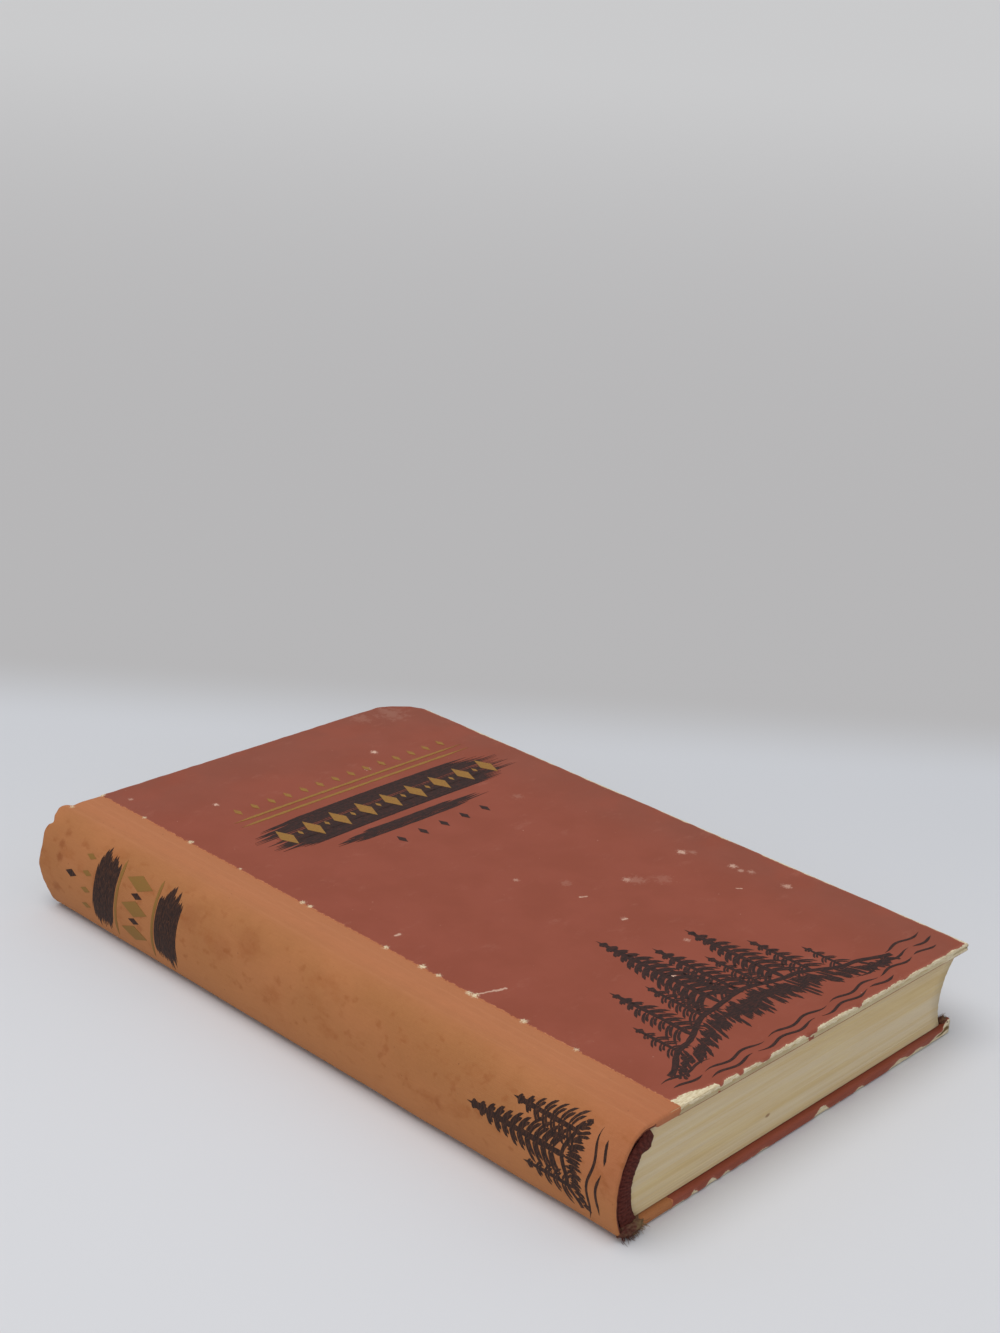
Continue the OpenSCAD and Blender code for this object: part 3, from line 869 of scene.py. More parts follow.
def make_cover(name, side_frame, strip, knock, worn_at, material, body, node, flip, curl=None):
    x_low = JOINT_W + strip - PAPER_LAP
    x_high = COVER_END - EDGE_R
    half = HALF_H - EDGE_R
    xs = [x_low] + spaced(x_low + 0.6, x_high - FINE_ZONE, 0.9) + spaced(x_high - FINE_ZONE, x_high, 0.4)[1:]
    ys = spaced(-half, -half + FINE_ZONE, 0.4) + spaced(-half + FINE_ZONE, half - FINE_HEAD, 1.25)[1:]
    ys += spaced(half - FINE_HEAD, half, 0.5)[1:]

    def place(x, y):
        top = knocked(x, x_high, half, knock)
        if x < x_low + 0.01:
            x += 0.1 * rough(y, 2.0, 0, 9.0)
        spot = Vector((x, -half + (y + half) * (top + half) / (2 * half), 0))
        return spot, spot

    bm = lay_grid(xs, ys, place)
    at = bm.verts.layers.float_vector["at"]
    worn = bm.verts.layers.float.new("worn")
    turn_over(bm, [e for e in bm.edges if e.is_boundary and not all(v.co.x < x_low + 0.45 for v in e.verts)])
    for vert in bm.verts:
        x, y, z = vert[at] = vert.co.copy()
        vert[worn], press = worn_at(x, y, -z)
        if press:
            vert.co = vert.co + press_way(x, y, -z) * press
        if curl:
            vert.co.z -= curl(x, y, -z)
    bmesh.ops.remove_doubles(bm, verts=bm.verts, dist=0.0005)
    bmesh.ops.recalc_face_normals(bm, faces=bm.faces)
    face_out(bm, (60, 0, 0), (0, 0, 1))
    bmesh.ops.transform(bm, matrix=side_frame, verts=bm.verts)
    piece = make_piece(bm, name, material, flip)
    thicken(piece, PAPER_T)
    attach(piece, body)
    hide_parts(node)


# Scraps of paper left on the tail edge: (x, half width, how far it reaches).
TAIL_SCRAPS = ((23.8, 1.1, 1.5), (31.0, 1.8, 1.0), (40.0, 3.6, 0.9), (58.0, 3.6, 1.5), (77.0, 2.0, 0.7),
               (97.0, 3.0, 0.4))


def spots_along(x, spots):
    """The height at x of soft humps, each (x, half width, height)."""
    return max(height * smooth(1 - abs(x - place) / wide) for place, wide, height in spots)


def front_wear(x, y, depth):
    """How far inside a worn place a point of the front paper lies, and how far it is pressed in."""
    if depth > UNDERSIDE:
        return -2.0, 0.0
    from_tail = y + HALF_H - depth * 0.2
    from_fore = COVER_END - x
    from_head = knocked(x, COVER_END, HALF_H, FRONT_KNOCK) - y
    torn = 0.5 + 0.32 * rough(x, 3.0, 0, 2.6) + 0.65 * rough(x, 9.0, 0, 8.0)
    torn += 2.2 * smooth((21 - x) / 8) + 0.5 * smooth((30 - x) / 10)
    left = spots_along(x, TAIL_SCRAPS)
    tail = torn - left - from_tail
    fore = 0.98 + 0.3 * rough(y, 20.0, 0, 3.0) + 0.35 * rough(y, 31.0, 0, 14.0)
    fore += 0.4 * smooth((-96 - y) / 5) - from_fore
    head = 0.4 + 0.35 * rough(x, 44.0, 0, 3.5) + 0.6 * smooth((x - 112) / 8) - from_head
    if depth > EDGE_R:
        fore = 0.3 + 1.6 * rough(y, depth * 2, 5.0, 6.0) + 1.5 * smooth((-94 - y) / 6)
        head = -0.2 + 1.6 * rough(x, depth * 2, 8.0, 6.0) + 1.2 * smooth((x - 112) / 6)
        tail = 1.5 - 1.9 * left * (0.7 + 0.6 * rough(x, depth * 3, 4.0, 1.2)) if from_tail < 1.2 else -2
        fore = fore if from_fore < 0.8 else -2
        head = head if from_head < 1.2 else -2
    field = max(tail, fore, head)
    press = 0.16 * smooth((field + 0.1) / 0.5)
    press += 0.1 * smooth(field * 2) * rough(x, y * 2, depth * 5, 0.8)
    press -= 0.09 * smooth(1 - abs(field + 0.25) / 0.25)
    if from_tail < 1.0 and field > 0:
        press += 0.4 * smooth((depth - 1.1 - 0.4 * rough(x, 70.0, 0, 2.5)) / 0.5) * smooth((116 - x) / 6)
    if from_tail < 1.0 and x > 118.5:
        press += 0.5 * smooth(1 - abs(depth - 1.3) / 0.5) * smooth((x - 118.5) / 1.5)
    return field, press


make_cover("front_paper", front_frame, FRONT_STRIP, FRONT_KNOCK, front_wear, front_paper_material,
           "front_cover", "front_cover_paper", False)

# Chips along the tail edge of the back paper: (x, half width, reach).
BACK_CHIPS = ((16.6, 4.2, 0.5), (21.4, 1.9, 1.2), (27.6, 3.0, 1.2), (33.0, 2.6, 0.6), (47.0, 3.0, 0.7),
              (70.0, 4.2, 1.9), (86.0, 3.5, 0.8), (103.0, 7.0, 1.1), (112.0, 6.0, 1.0), (121.0, 7.0, 1.4))


def back_wear(x, y, depth):
    """The back paper is chipped along its lower tail edge and frayed at the corner."""
    if depth > UNDERSIDE:
        return -2.0, 0.0
    from_tail = y + HALF_H
    from_fore = COVER_END - x
    from_head = HALF_H - y
    reach = 0.6 + 1.2 * rough(x + y, 60.0, 0, 5.0) + 0.8 * rough(x + y, 66.0, 0, 1.8)
    if from_tail < 3:
        reach = 0.15 + 0.35 * rough(x, 60.0, 0, 2.2) + 0.25 * rough(x, 66.0, 0, 9.0)
        reach += spots_along(x, BACK_CHIPS)
    near = min(from_tail, from_fore, from_head)
    field = reach - max(near, 0.0) - depth * 0.75
    corner = 2.4 - (from_fore + from_tail) * 0.8 + 0.8 * rough(x, y, depth, 1.5)
    field = max(field, corner)
    press = 0.16 * smooth((field + 0.1) / 0.5) + 0.12 * smooth(field * 2) * rough(x, y * 2, depth * 5, 0.8)
    return field, press


def back_curl(x, y, depth):
    """At the tail corner the layers of the back board have come apart and curl up."""
    away = (COVER_END - x) + (y + HALF_H)
    return 2.3 * smooth((4.4 - away) / 3.6) * smooth((depth - 0.5) / 1.9)


make_cover("back_paper", back_frame, BACK_STRIP, BACK_KNOCK, back_wear, back_paper_material,
           "back_cover", "back_cover_paper", True, back_curl)

# %% [markdown]
# ## Spine cloth
# One piece of cloth runs from the front board over the spine to the back board, and is
# turned in at head and tail. Here it is made in two, because a piece can bend with one joint
# only. They meet low on the spine, where the book's own shadow lies, with points so close
# together that no seam shows. Each is a grid over the curve of the spine.

# %% Curve of the spine
FRONT_SHOULDER, BACK_SHOULDER = 7.2, 4.4
FRONT_C = Vector((-SHOULDER_W, SPINE_H - SHOULDER_DIP - FRONT_SHOULDER))
BACK_C = Vector((-LEAN - SHOULDER_W, SHOULDER_DIP + BACK_SHOULDER))
SPINE_R = 22.0
gap = FRONT_C - BACK_C
to_front, to_back = SPINE_R - FRONT_SHOULDER, SPINE_R - BACK_SHOULDER
foot = (to_back ** 2 - to_front ** 2 + gap.length ** 2) / (2 * gap.length)
rise = math.sqrt(to_back ** 2 - foot ** 2)
unit = gap.normalized()
SPINE_C = BACK_C + unit * foot + Vector((unit.y, -unit.x)) * rise
front_angle = math.atan2(FRONT_C.y - SPINE_C.y, FRONT_C.x - SPINE_C.x)
back_angle = math.tau + math.atan2(BACK_C.y - SPINE_C.y, BACK_C.x - SPINE_C.x)
# The two parts of the cloth meet low on the spine, just above the back shoulder.
SEAM = mix(front_angle, back_angle, 0.985)
print("spine arc from", round(math.degrees(front_angle), 2), "to", round(math.degrees(back_angle), 2))


def arc_points(centre, radius, angles):
    ways = [Vector((math.cos(a), math.sin(a))) for a in angles]
    return [(centre + radius * way, way) for way in ways]


def run_length(points, known, value):
    """Distance across the cloth at each point, falling along the curve, with a known value at one."""
    total = [0.0]
    for (a, _), (b, _) in zip(points, points[1:]):
        total.append(total[-1] - (b - a).length)
    return [t - total[known] + value for t in total]


def front_curve():
    """Points and normals from the front board's strip over the spine to the seam."""
    points = []
    for x in reversed(spaced(0.0, JOINT_W + FRONT_STRIP + 1.0, 0.45)):
        spot = front_frame @ Vector((x, 0, 0))
        points.append((Vector((spot.x - hinge_x, spot.z)), Vector((math.sin(slope), math.cos(slope)))))
    zero = len(points) - 1
    for x in spaced(0.0, SHOULDER_W, 0.4)[1:]:
        points.append((Vector((-x, SPINE_H - SHOULDER_DIP * smooth(x / SHOULDER_W))), Vector((0, 1))))
    points += arc_points(FRONT_C, FRONT_SHOULDER, spaced(math.pi / 2, front_angle, 0.06))[1:]
    wide = spaced(front_angle, SEAM - 0.06, 0.022)
    points += arc_points(SPINE_C, SPINE_R, wide + spaced(wide[-1], SEAM, 0.006)[1:])[1:]
    return points, run_length(points, zero, 0.0)


def back_curve():
    """Points and normals from the seam round the back shoulder to the back board's strip."""
    points = arc_points(SPINE_C, SPINE_R, [mix(SEAM, back_angle, i / 4) for i in range(5)])
    points += arc_points(BACK_C, BACK_SHOULDER, [mix(back_angle, 3 * math.pi / 2, i / 24) for i in range(25)])[1:]
    for x in reversed(spaced(0.0, SHOULDER_W, 0.4)[:-1]):
        points.append((Vector((-x - LEAN, SHOULDER_DIP * smooth(x / SHOULDER_W))), Vector((0, -1))))
    for x in spaced(0.0, JOINT_W + BACK_STRIP + 1.0, 0.6)[1:]:
        points.append((Vector((x - LEAN, 0.0)), Vector((0, -1))))
    return points, run_length(points, 0, front_run[-1])


front_points, front_run = front_curve()
back_points, back_run = back_curve()
BACK_JOINT = back_run[-1] + JOINT_W + BACK_STRIP + 1.0
print("cloth across the spine, from joint to joint:", round(-BACK_JOINT, 2), "mm")

# The radius of the fold at head and tail, and the cloth's thickness.
FOLD_R, CLOTH_T = 0.95, 0.26


def cloth_rows():
    """Rows of the cloth from the tail's turn-in to the head's: (part, share, angle or y)."""
    near, far = HALF_H - FOLD_R, HALF_H - 4
    outer = spaced(-near, -far, 0.45) + spaced(-far, far, 2.4)[1:] + spaced(far, near, 0.45)[1:]
    rows = [("tail", s) for s in (0.0, 0.4, 0.75, 0.93, 1.0)] + [("tail_low", a) for a in (30, 60, 90)]
    rows += [("tail_side", s) for s in (0.34, 0.67)] + [("tail_top", a) for a in (0, 20, 40, 60, 75)]
    rows += [("out", y) for y in outer]
    rows += [("head_top", a) for a in (75, 60, 40, 20, 0)] + [("head_side", s) for s in (0.67, 0.34)]
    rows += [("head_low", a) for a in (90, 60, 30)] + [("head", s) for s in (1.0, 0.93, 0.75, 0.4, 0.0)]
    return rows


def row_spot(row, thick, reach):
    """(y, depth, inside) of a row, for a fold of this thickness at this reach from the middle."""
    kind, value = row
    sign = -1 if kind.startswith("tail") else 1
    radius = min(FOLD_R, thick / 2)
    if kind == "out":
        return value, 0.0, 0.0
    part = kind.split("_")[-1]
    if part in ("tail", "head"):
        return sign * mix(HALF_H - TURN_IN, reach - radius, value), thick, 1.0
    if part == "side":
        return sign * reach, mix(thick - radius, radius, value), 0.75
    a = math.radians(value)
    if part == "low":
        return sign * (reach - radius + radius * math.sin(a)), thick - radius + radius * math.cos(a), 1.0
    return sign * (reach - radius + radius * math.cos(a)), radius - radius * math.sin(a), 0.5 * math.cos(a) ** 2


# %% [markdown]
# The joint shows as a shallow valley. At the head the turned-in edge has gone wavy, and at
# the tail it bulges a little over the band. The strips on the boards run on under the paper,
# a paper's thickness lower, so that the paper's edge shows as a fine step.


# %% Spine cloth in two parts
# (across, how far the head fold has sunk there).
HEAD_EDGE = ((3.0, 0.0), (1.5, 0.3), (-0.1, 0.3), (-1.5, -1.3), (-2.9, -1.6), (-5.6, -0.7), (-7.9, 0.5),
             (-9.3, -0.8), (-10.8, -1.2), (-14.9, -0.5), (-18.0, -0.8), (-20.3, -1.0), (-22.3, -0.3),
             (-24.5, 0.2), (-26.5, 1.2), (-29.2, 1.9), (-33.0, 2.3))


def head_sunk(across):
    """How far the wavy head fold of the spine has sunk, or stands proud where it is below zero."""
    sunk = 0.0 if across > 0 else HEAD_EDGE[-1][1]
    for (a, first), (b, second) in zip(HEAD_EDGE, HEAD_EDGE[1:]):
        if b <= across <= a:
            sunk = mix(first, second, smooth((a - across) / (a - b)))
    return sunk + 0.12 * rough(across, 7.0, 0, 1.6)


def on_board(across):
    """How far a place is out on a board, past the hinge line; below zero on the spine."""
    return max(across, BACK_JOINT - across)


def past_strip(across):
    """How far a place is past the inner edge of the covering paper."""
    return on_board(across) - JOINT_W - (FRONT_STRIP if across > 0 else BACK_STRIP)


def cloth_sink(across):
    """How far the cloth lies in from the flat: the joint's valley and the step under the paper."""
    past = on_board(across)
    valley = 0.16 * math.exp(-((past - 0.5) / 1.3) ** 2)
    if across > 0 or past < 0:
        valley -= 0.03 * sum(math.exp(-((across - place) / (wide * 0.6)) ** 2) for place, wide in CREASES)
    return valley + 0.1 * smooth((past - JOINT_W - 1.5) / 3) + 0.24 * smooth(past_strip(across) / 0.4)


def cloth_wave(across, y, past):
    """The cloth of the spine isn't quite even."""
    return 0.12 * rough(across, y, 0, 16.0) * smooth((0.5 - past) / 3)


def cloth_thick(past):
    """How thick the fold at head and tail is: cloth, card or board, and cloth."""
    if past > 0:
        return mix(2.0, EDGE_T, smooth((past - 1.2) / 1.4))
    return mix(2.0, 1.4, smooth(-past / 2.5))


def pinched(past):
    """In the joint there is neither card nor board, so the turn-in lies close under the cloth."""
    return smooth((past + 0.7) / 0.7) * smooth((2.4 - past) / 0.8)


# Marks a point of the turned-in cloth until its attribute `inside` is set.
TURNED = 10.0
# The turn-in's depth in the joint, and how far from each end the fold's waviness fades out.
PINCH_DEPTH, HEAD_ZONE, TAIL_ZONE = 0.85, 6, 4


def make_cloth_part(name, points, run, body, nodes):
    def place(i, row):
        spot, normal = points[i]
        across = run[i]
        past = on_board(across)
        under = 0.3 * smooth((past_strip(across) + 0.1) / 0.4)
        y, depth, inside = row_spot(row, cloth_thick(past) - under, HALF_H - under)
        ease = smooth((1.5 - past) / 2)
        if row[0] in ("tail", "head"):
            depth = mix(depth, PINCH_DEPTH, pinched(past) * smooth((0.93 - row[1]) / 0.5))
        deep = depth
        if y > HALF_H - HEAD_ZONE:
            y -= head_sunk(across) * ease * smooth((y - HALF_H + HEAD_ZONE) / 5)
        elif y < -HALF_H + TAIL_ZONE:
            y += (0.12 + 0.2 * rough(across, 12.0, 0, 3.0)) * ease * smooth((-HALF_H + TAIL_ZONE - y) / TAIL_ZONE)
        if inside < 0.6:
            depth += cloth_sink(across) * (1 - inside) - cloth_wave(across, y, past)
        x, z = spot - normal * depth
        turned = inside > 0.6 and past < 1.0
        if row[0] in ("tail", "head"):
            turned = past <= 1.5 or row[1] <= 0.9
        return Vector((hinge_x + x, y, z)), Vector((across, y, TURNED if turned else deep))

    bm = lay_grid(range(len(points)), cloth_rows(), place)
    inside = bm.verts.layers.float.new("inside")
    at = bm.verts.layers.float_vector["at"]
    for vert in bm.verts:
        across, y, deep = vert[at]
        # On the back cover the folded edges carry a little of `inside`, which turns them slightly maroon: partly
        # cloth less faded there, partly painted shade.
        shade = min(0.3, deep * 0.4) if body == "front_cover" else min(0.44, deep)
        vert[inside] = 1.0 if deep >= TURNED else shade
        vert[at] = Vector((across, y, 0))
    face_out(bm, (hinge_x - 12, 0, 6), (-1, 0, 0))
    piece = make_piece(bm, name, cloth_material)
    thicken(piece, CLOTH_T)
    turn_with(piece, body)
    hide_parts(*nodes)


make_cloth_part("spine_cloth_front", front_points, front_run, "front_cover", ["spine_cloth", "front_hinge_cloth"])
make_cloth_part("spine_cloth_back", back_points, back_run, "back_cover", ["back_hinge_cloth"])

# %% [markdown]
# The card that stiffens the spine lies between the two layers of the fold. It ends a little
# short of them, where the cloth has sunk.

# %% Card in the spine
CARD_T, CARD_MARGIN, CARD_TAIL, CARD_HEAD = 0.75, 0.6, 1.8, 2.4


def make_inlay():
    runs = zip(front_points + back_points, front_run + back_run)
    curve = [point for point, across in runs if on_board(across) < -CARD_MARGIN]

    def place(i, y):
        spot, normal = curve[i]
        x, z = spot - normal * WRAP
        return Vector((hinge_x + x, y, z)), Vector((i, y, 0))

    bm = lay_grid(range(len(curve)), spaced(-HALF_H + CARD_TAIL, HALF_H - CARD_HEAD, 6.0), place)
    bmesh.ops.remove_doubles(bm, verts=bm.verts, dist=0.002)
    face_out(bm, (hinge_x - 12, 0, 6), (-1, 0, 0))
    card = make_piece(bm, "spine_card", card_material)
    thicken(card, CARD_T)
    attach(card, "book_block")
    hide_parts("spine_inlay")


make_inlay()

# %% [markdown]
# ## Head and tail bands
# A woven band with a thick edge, the bead, is glued over each end of the folded backs. The
# bead is a flattened roll with slanting ridges, so it is laid as a grid round a curve and its
# points are lifted in a slanting wave. Its hollows are painted darker than its crests, a
# painted shade.

# %% Bands
def make_band_cloth():
    material, tree = new_material("woven band")
    at = on_sheet(tree)
    weave = use(tree, weave_group, At=at, Pitch=0.3)
    # The hollows between the slanting ridges are painted darker than the crests: painted shade.
    base = tint(tree, carried(tree, "ridge"), colour(58, 14, 8), colour(98, 42, 32))
    nap = fit(tree, speckle(tree, at, 3.0, 4.0, 0.7), 0.4, 0.7)
    base = wash(tree, base, nap, 0.6, colour(104, 56, 48))
    return coat(material, base, 0.9, 0.2, Normal=bump(tree, weave["Height"], 0.5, 0.0001))


band_material = make_band_cloth()
BAND_WIDE, BAND_TALL, RIDGE_PITCH = 1.9, 0.7, 1.05
# The bead runs past both ends of the backs, as shares of their chord. Its middle lies further in
# than the backs and stands off the trimmed edge.
BAND_FROM, BAND_TO, BAND_IN, BAND_OFF = -0.09, 1.045, 0.55, 0.85
# The radius of the arc of the folded backs.
BACKS_R = 15.9


def make_band(name, end_y, side, node):
    chord = FOLD_HIGH - FOLD_LOW
    outward = Vector((-chord.y, chord.x)).normalized()
    centre = bowed(FOLD_LOW, FOLD_HIGH, FOLD_BOW, 0.5) - outward * BACKS_R

    def place(share, turn):
        spot = bowed(FOLD_LOW, FOLD_HIGH, FOLD_BOW, share)
        angle = turn * math.tau
        s, cos = share * chord.length, math.cos(angle)
        phase = (s + 0.6 * rough(s, 2.0, end_y, 2.5)) / RIDGE_PITCH * math.tau + angle * 1.6
        ridge = 0.5 + 0.5 * math.sin(phase) * math.cos(angle * 2.5 - s * 1.1)
        ridge = ridge * (0.75 + 0.6 * rough(s * 2, angle * 2, end_y, 1.0))
        lift = 0.1 * ridge + 0.16 * rough(s * 1.6, angle * 1.8, end_y, 1.0)
        lift += 0.07 * rough(s * 5, angle * 5, end_y, 1.0)
        # Outwards the bead is full from its low end almost to the front. Inwards it has one tab.
        swell = 0.9 * smooth((0.16 - share) / 0.2) + 0.7 * smooth(share / 0.2) * smooth((0.97 - share) / 0.25)
        if cos < 0:
            swell = 1.5 * smooth((share - 0.84) / 0.1) * smooth((1.06 - share) / 0.1)
            swell += 0.3 * rough(s, 5.0, end_y, 2.0)
        flat = spot + (spot - centre).normalized() * (cos * (BAND_WIDE + lift) - BAND_IN + cos * swell)
        height = max(flat.y, 0.3 + 0.1 * ridge)
        y = end_y + side * (BAND_OFF + math.sin(angle) * (BAND_TALL + lift * 0.6))
        return Vector((hinge_x + flat.x, y, height)), Vector((s, angle, ridge))

    bm = lay_grid(spaced(BAND_FROM, BAND_TO, 1 / 150), spaced(0.0, 1.0, 1 / 40), place)
    at = bm.verts.layers.float_vector["at"]
    carried_ridge = bm.verts.layers.float.new("ridge")
    for vert in bm.verts:
        s, angle, vert[carried_ridge] = vert[at]
        vert[at] = Vector((s, angle, 0))
    bmesh.ops.remove_doubles(bm, verts=bm.verts, dist=0.01)
    bmesh.ops.holes_fill(bm, edges=[e for e in bm.edges if e.is_boundary], sides=0)
    bmesh.ops.recalc_face_normals(bm, faces=bm.faces)
    band = make_piece(bm, name, band_material)
    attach(band, "book_block")
    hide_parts(node)


make_band("tail_bead", TAIL_Y, -1, "tail_band")
make_band("head_bead", HEAD_Y, 1, "head_band")

# %% [markdown]
# ## Print
# The covers are printed in two inks, a dark brown and an ochre. The design is a plain one of
# its own, cut like a wood block: level dry-brushed bands and a chain of lozenges near the
# head, and a grove of firs on a small hill over water near the tail. Ink is a very thin layer
# on the surface, so each stroke is a ribbon: a narrow grid along a path, with a width at
# every point. The one kind of ribbon makes brush hairs, branches, hatching and waves.


# %% Ink and ribbons
# Ribbons lie on 13 levels, one step apart. A wide ribbon has more rows of faces.
INK_STEP, INK_LEVELS, INK_T, ROW_WIDE = 0.0025, 13, 0.05, 1.1


def make_ink(name, main, second, streak):
    material, tree = new_material(name)
    dry = fit(tree, speckle(tree, stretch(tree, on_sheet(tree), streak), 1.0, 5.0, 0.75), 0.42, 0.72)
    return coat(material, wash(tree, main, dry, 0.7, second), 0.65, 0.25)


dark_ink = make_ink("dark ink on paper", colour(42, 27, 24), colour(92, 46, 36), (0.6, 2.2, 1))
ochre_ink = make_ink("ochre ink on paper", colour(152, 112, 50), colour(126, 76, 46), (1.5, 1.5, 1))
spine_dark_ink = make_ink("dark ink on cloth", colour(40, 24, 20), colour(100, 60, 38), (0.7, 2.2, 1))
spine_ochre_ink = make_ink("ochre ink on cloth", colour(134, 100, 46), colour(142, 94, 50), (1.5, 1.5, 1))


def ribbon(bm, place, path, widths):
    """A strip of ink along a path of (a, b) points, as wide as widths says.

    Each ribbon lies a little higher or lower than the last one, so that two that cross
    never lie in the same plane.
    """
    rows = max(1, math.ceil(max(widths) / ROW_WIDE))
    lift = INK_STEP * (len(bm.verts) // 2 % INK_LEVELS)
    sides = []
    for i in range(len(path)):
        before, after = path[max(0, i - 1)], path[min(len(path) - 1, i + 1)]
        run = Vector((after[0] - before[0], after[1] - before[1])).normalized()
        sides.append(Vector((-run.y, run.x)))

    def spot(i, v):
        a, b = Vector(path[i]) + sides[i] * (widths[i] * v)
        return place(a, b, lift), Vector((a, b, 0))

    lay_grid(range(len(path)), [j / rows - 0.5 for j in range(rows + 1)], spot, bm)


def hair(bm, place, start, end, width, bend, dice):
    """One hair of a brush: a long ribbon with thin ends and an uneven width."""
    count = max(5, round(math.dist(start, end) / 1.2))
    away = Vector((end[0] - start[0], end[1] - start[1])).normalized()
    shift = dice.uniform(0, 50)
    path, widths = [], []
    for i in range(count + 1):
        t = i / count
        sag = bend * 4 * t * (1 - t)
        path.append((mix(start[0], end[0], t) - away.y * sag, mix(start[1], end[1], t) + away.x * sag))
        taper = min(1.0, t / 0.07, (1 - t) / 0.12)
        widths.append(max(0.03, width * taper * (1 + 0.35 * rough(shift + i, 0, 0, 3.0))))
    ribbon(bm, place, path, widths)


def brush(bm, place, start, end, height, hairs, ragged, bend, dice):
    """A dry brush drawn from start to end: many hairs side by side, which stop here and there."""
    run = (Vector(end) - Vector(start)).normalized()
    side = Vector((-run.y, run.x))
    for k in range(hairs):
        share = k / (hairs - 1) - 0.5
        rim = ragged * abs(share * 2) ** 3
        first = Vector(start) + side * share * height + run * (dice.uniform(0, ragged) + rim)
        last = Vector(end) + side * share * height - run * (dice.uniform(0, ragged) + rim)
        width = height / hairs * (1.5 if dice.random() < 0.72 else 0.7)
        hair(bm, place, tuple(first), tuple(last), width, bend, dice)


def lozenge(bm, place, a, b, wide, high):
    path = [(a, b + high * t) for t in (-0.5, -0.25, 0, 0.25, 0.5)]
    ribbon(bm, place, path, [0.05, wide / 2, wide, wide / 2, 0.05])


def fir(bm, place, a, b, high, wide, dice):
    """A fir tree: a stem, and branches that droop to both sides in tiers."""
    hair(bm, place, (a, b - 1), (a, b + high), 0.6 + high * 0.03, dice.uniform(-0.3, 0.3), dice)
    tiers = max(4, round(high / 2.7))
    for k in range(tiers):
        up = (k + 0.5) / tiers
        reach = wide / 2 * (1 - up) ** 0.8 * dice.uniform(0.8, 1.15) + 0.5
        root = b + high * (0.1 + 0.88 * up)
        for side in (-1, 1):
            for under in (0.0, 0.8):
                far = reach * (1 - 0.35 * under)
                tip = (a + side * far, root - far * 0.7 - under)
                hair(bm, place, (a, root - under), tip, 0.4 + high * 0.014, side * far * 0.12, dice)


def hill(bm, place, crest, deep, width, dice):
    """A hill: a crest line through the (a, b) points, and hatching that falls away under it."""
    line = []
    for (a0, b0), (a1, b1) in zip(crest, crest[1:]):
        count = max(3, round((a1 - a0) / 1.3))
        line += [(mix(a0, a1, i / count), mix(b0, b1, smooth(i / count))) for i in range(count)]
    ribbon(bm, place, line, [max(0.3, width * (1 + 0.3 * rough(a, b, 0, 2.0))) for a, b in line])
    first, last = line[0][0], line[-1][0]
    for a, b in line:
        for extra in (0.0, 0.6):
            share = (a + extra - first) / (last - first)
            long = deep * math.sin(math.pi * min(1.0, max(0.0, share))) ** 0.6 * dice.uniform(0.6, 1.1)
            if long < 1:
                continue
            tilt = mix(-2.2, -0.9, share)
            top = (a + extra, b - 0.3 - dice.uniform(0, deep * 0.35))
            foot = (top[0] + long * math.cos(tilt), top[1] + long * math.sin(tilt))
            hair(bm, place, top, foot, width * 0.62, 0.2, dice)


def waves(bm, place, start, end, b, width, dice):
    """A line of water: a long ribbon that swings up and down, broken here and there."""
    a = start
    while a < end - 3:
        stop = min(end, a + dice.uniform(9, 26))
        count = max(4, round((stop - a) / 1.1))
        shares = [i / count for i in range(count + 1)]
        path = [(mix(a, stop, t), b + 0.55 * math.sin(mix(a, stop, t) / 1.9)) for t in shares]
        ribbon(bm, place, path, [max(0.05, width * min(1, 5 * t, 5 - 5 * t)) for t in shares])
        a = stop + dice.uniform(1.0, 2.4)


def print_ink(name, material, body, place, draw):
    bm = bmesh.new()
    bm.verts.layers.float_vector.new("at")
    draw(bm, place)
    bm.normal_update()
    ink = make_piece(bm, name, material)
    ink.data.shade_flat()
    thicken(ink, INK_T)
    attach(ink, body)


# %% [markdown]
# Each design is laid out flat and then placed. On the board that is a plain move. On the
# spine the flat place is looked up on the curve of the cloth, so that the ink bends with it.

# %% Print on the front board
# The lowest ribbon lies this far over the paper or the cloth. The ochre lies over the dark ink.
OVER_PAPER, OVER_CLOTH, OVER_DARK = 0.02, 0.035, 0.03


def on_front(a, b, lift):
    return front_frame @ Vector((a, b, lift + OVER_PAPER))


def front_dark(bm, place):
    dice = random.Random(11)
    brush(bm, place, (21, 50), (119, 51), 15, 24, 8, 0.5, dice)
    brush(bm, place, (34, 38.6), (101, 38.2), 3.4, 5, 9, -0.3, dice)
    for k in range(5):
        lozenge(bm, place, 55 + 8 * k, 30.5, 2.2, 4.4)
    crest = [(17, -93), (29, -87), (46, -81), (60, -79.5), (76, -83), (92, -89), (106, -93)]
    hill(bm, place, crest, 8.5, 1.5, dice)
    for a, b, high, wide in ((27, -88, 14, 9), (35, -85, 25, 13), (44, -81.5, 18, 11), (52, -80, 39, 18),
                             (60, -79.5, 27, 14), (67, -80.5, 17, 10), (74, -82.5, 31, 15), (82, -85, 20, 11),
                             (90, -88, 12, 8)):
        fir(bm, place, a, b, high, wide, dice)
    for b, start, end in ((-91.0, 104, 122), (-94.2, 13, 30), (-94.4, 88, 121), (-97.2, 14, 118), (-99.6, 24, 96)):
        waves(bm, place, start, end, b, 0.75, dice)


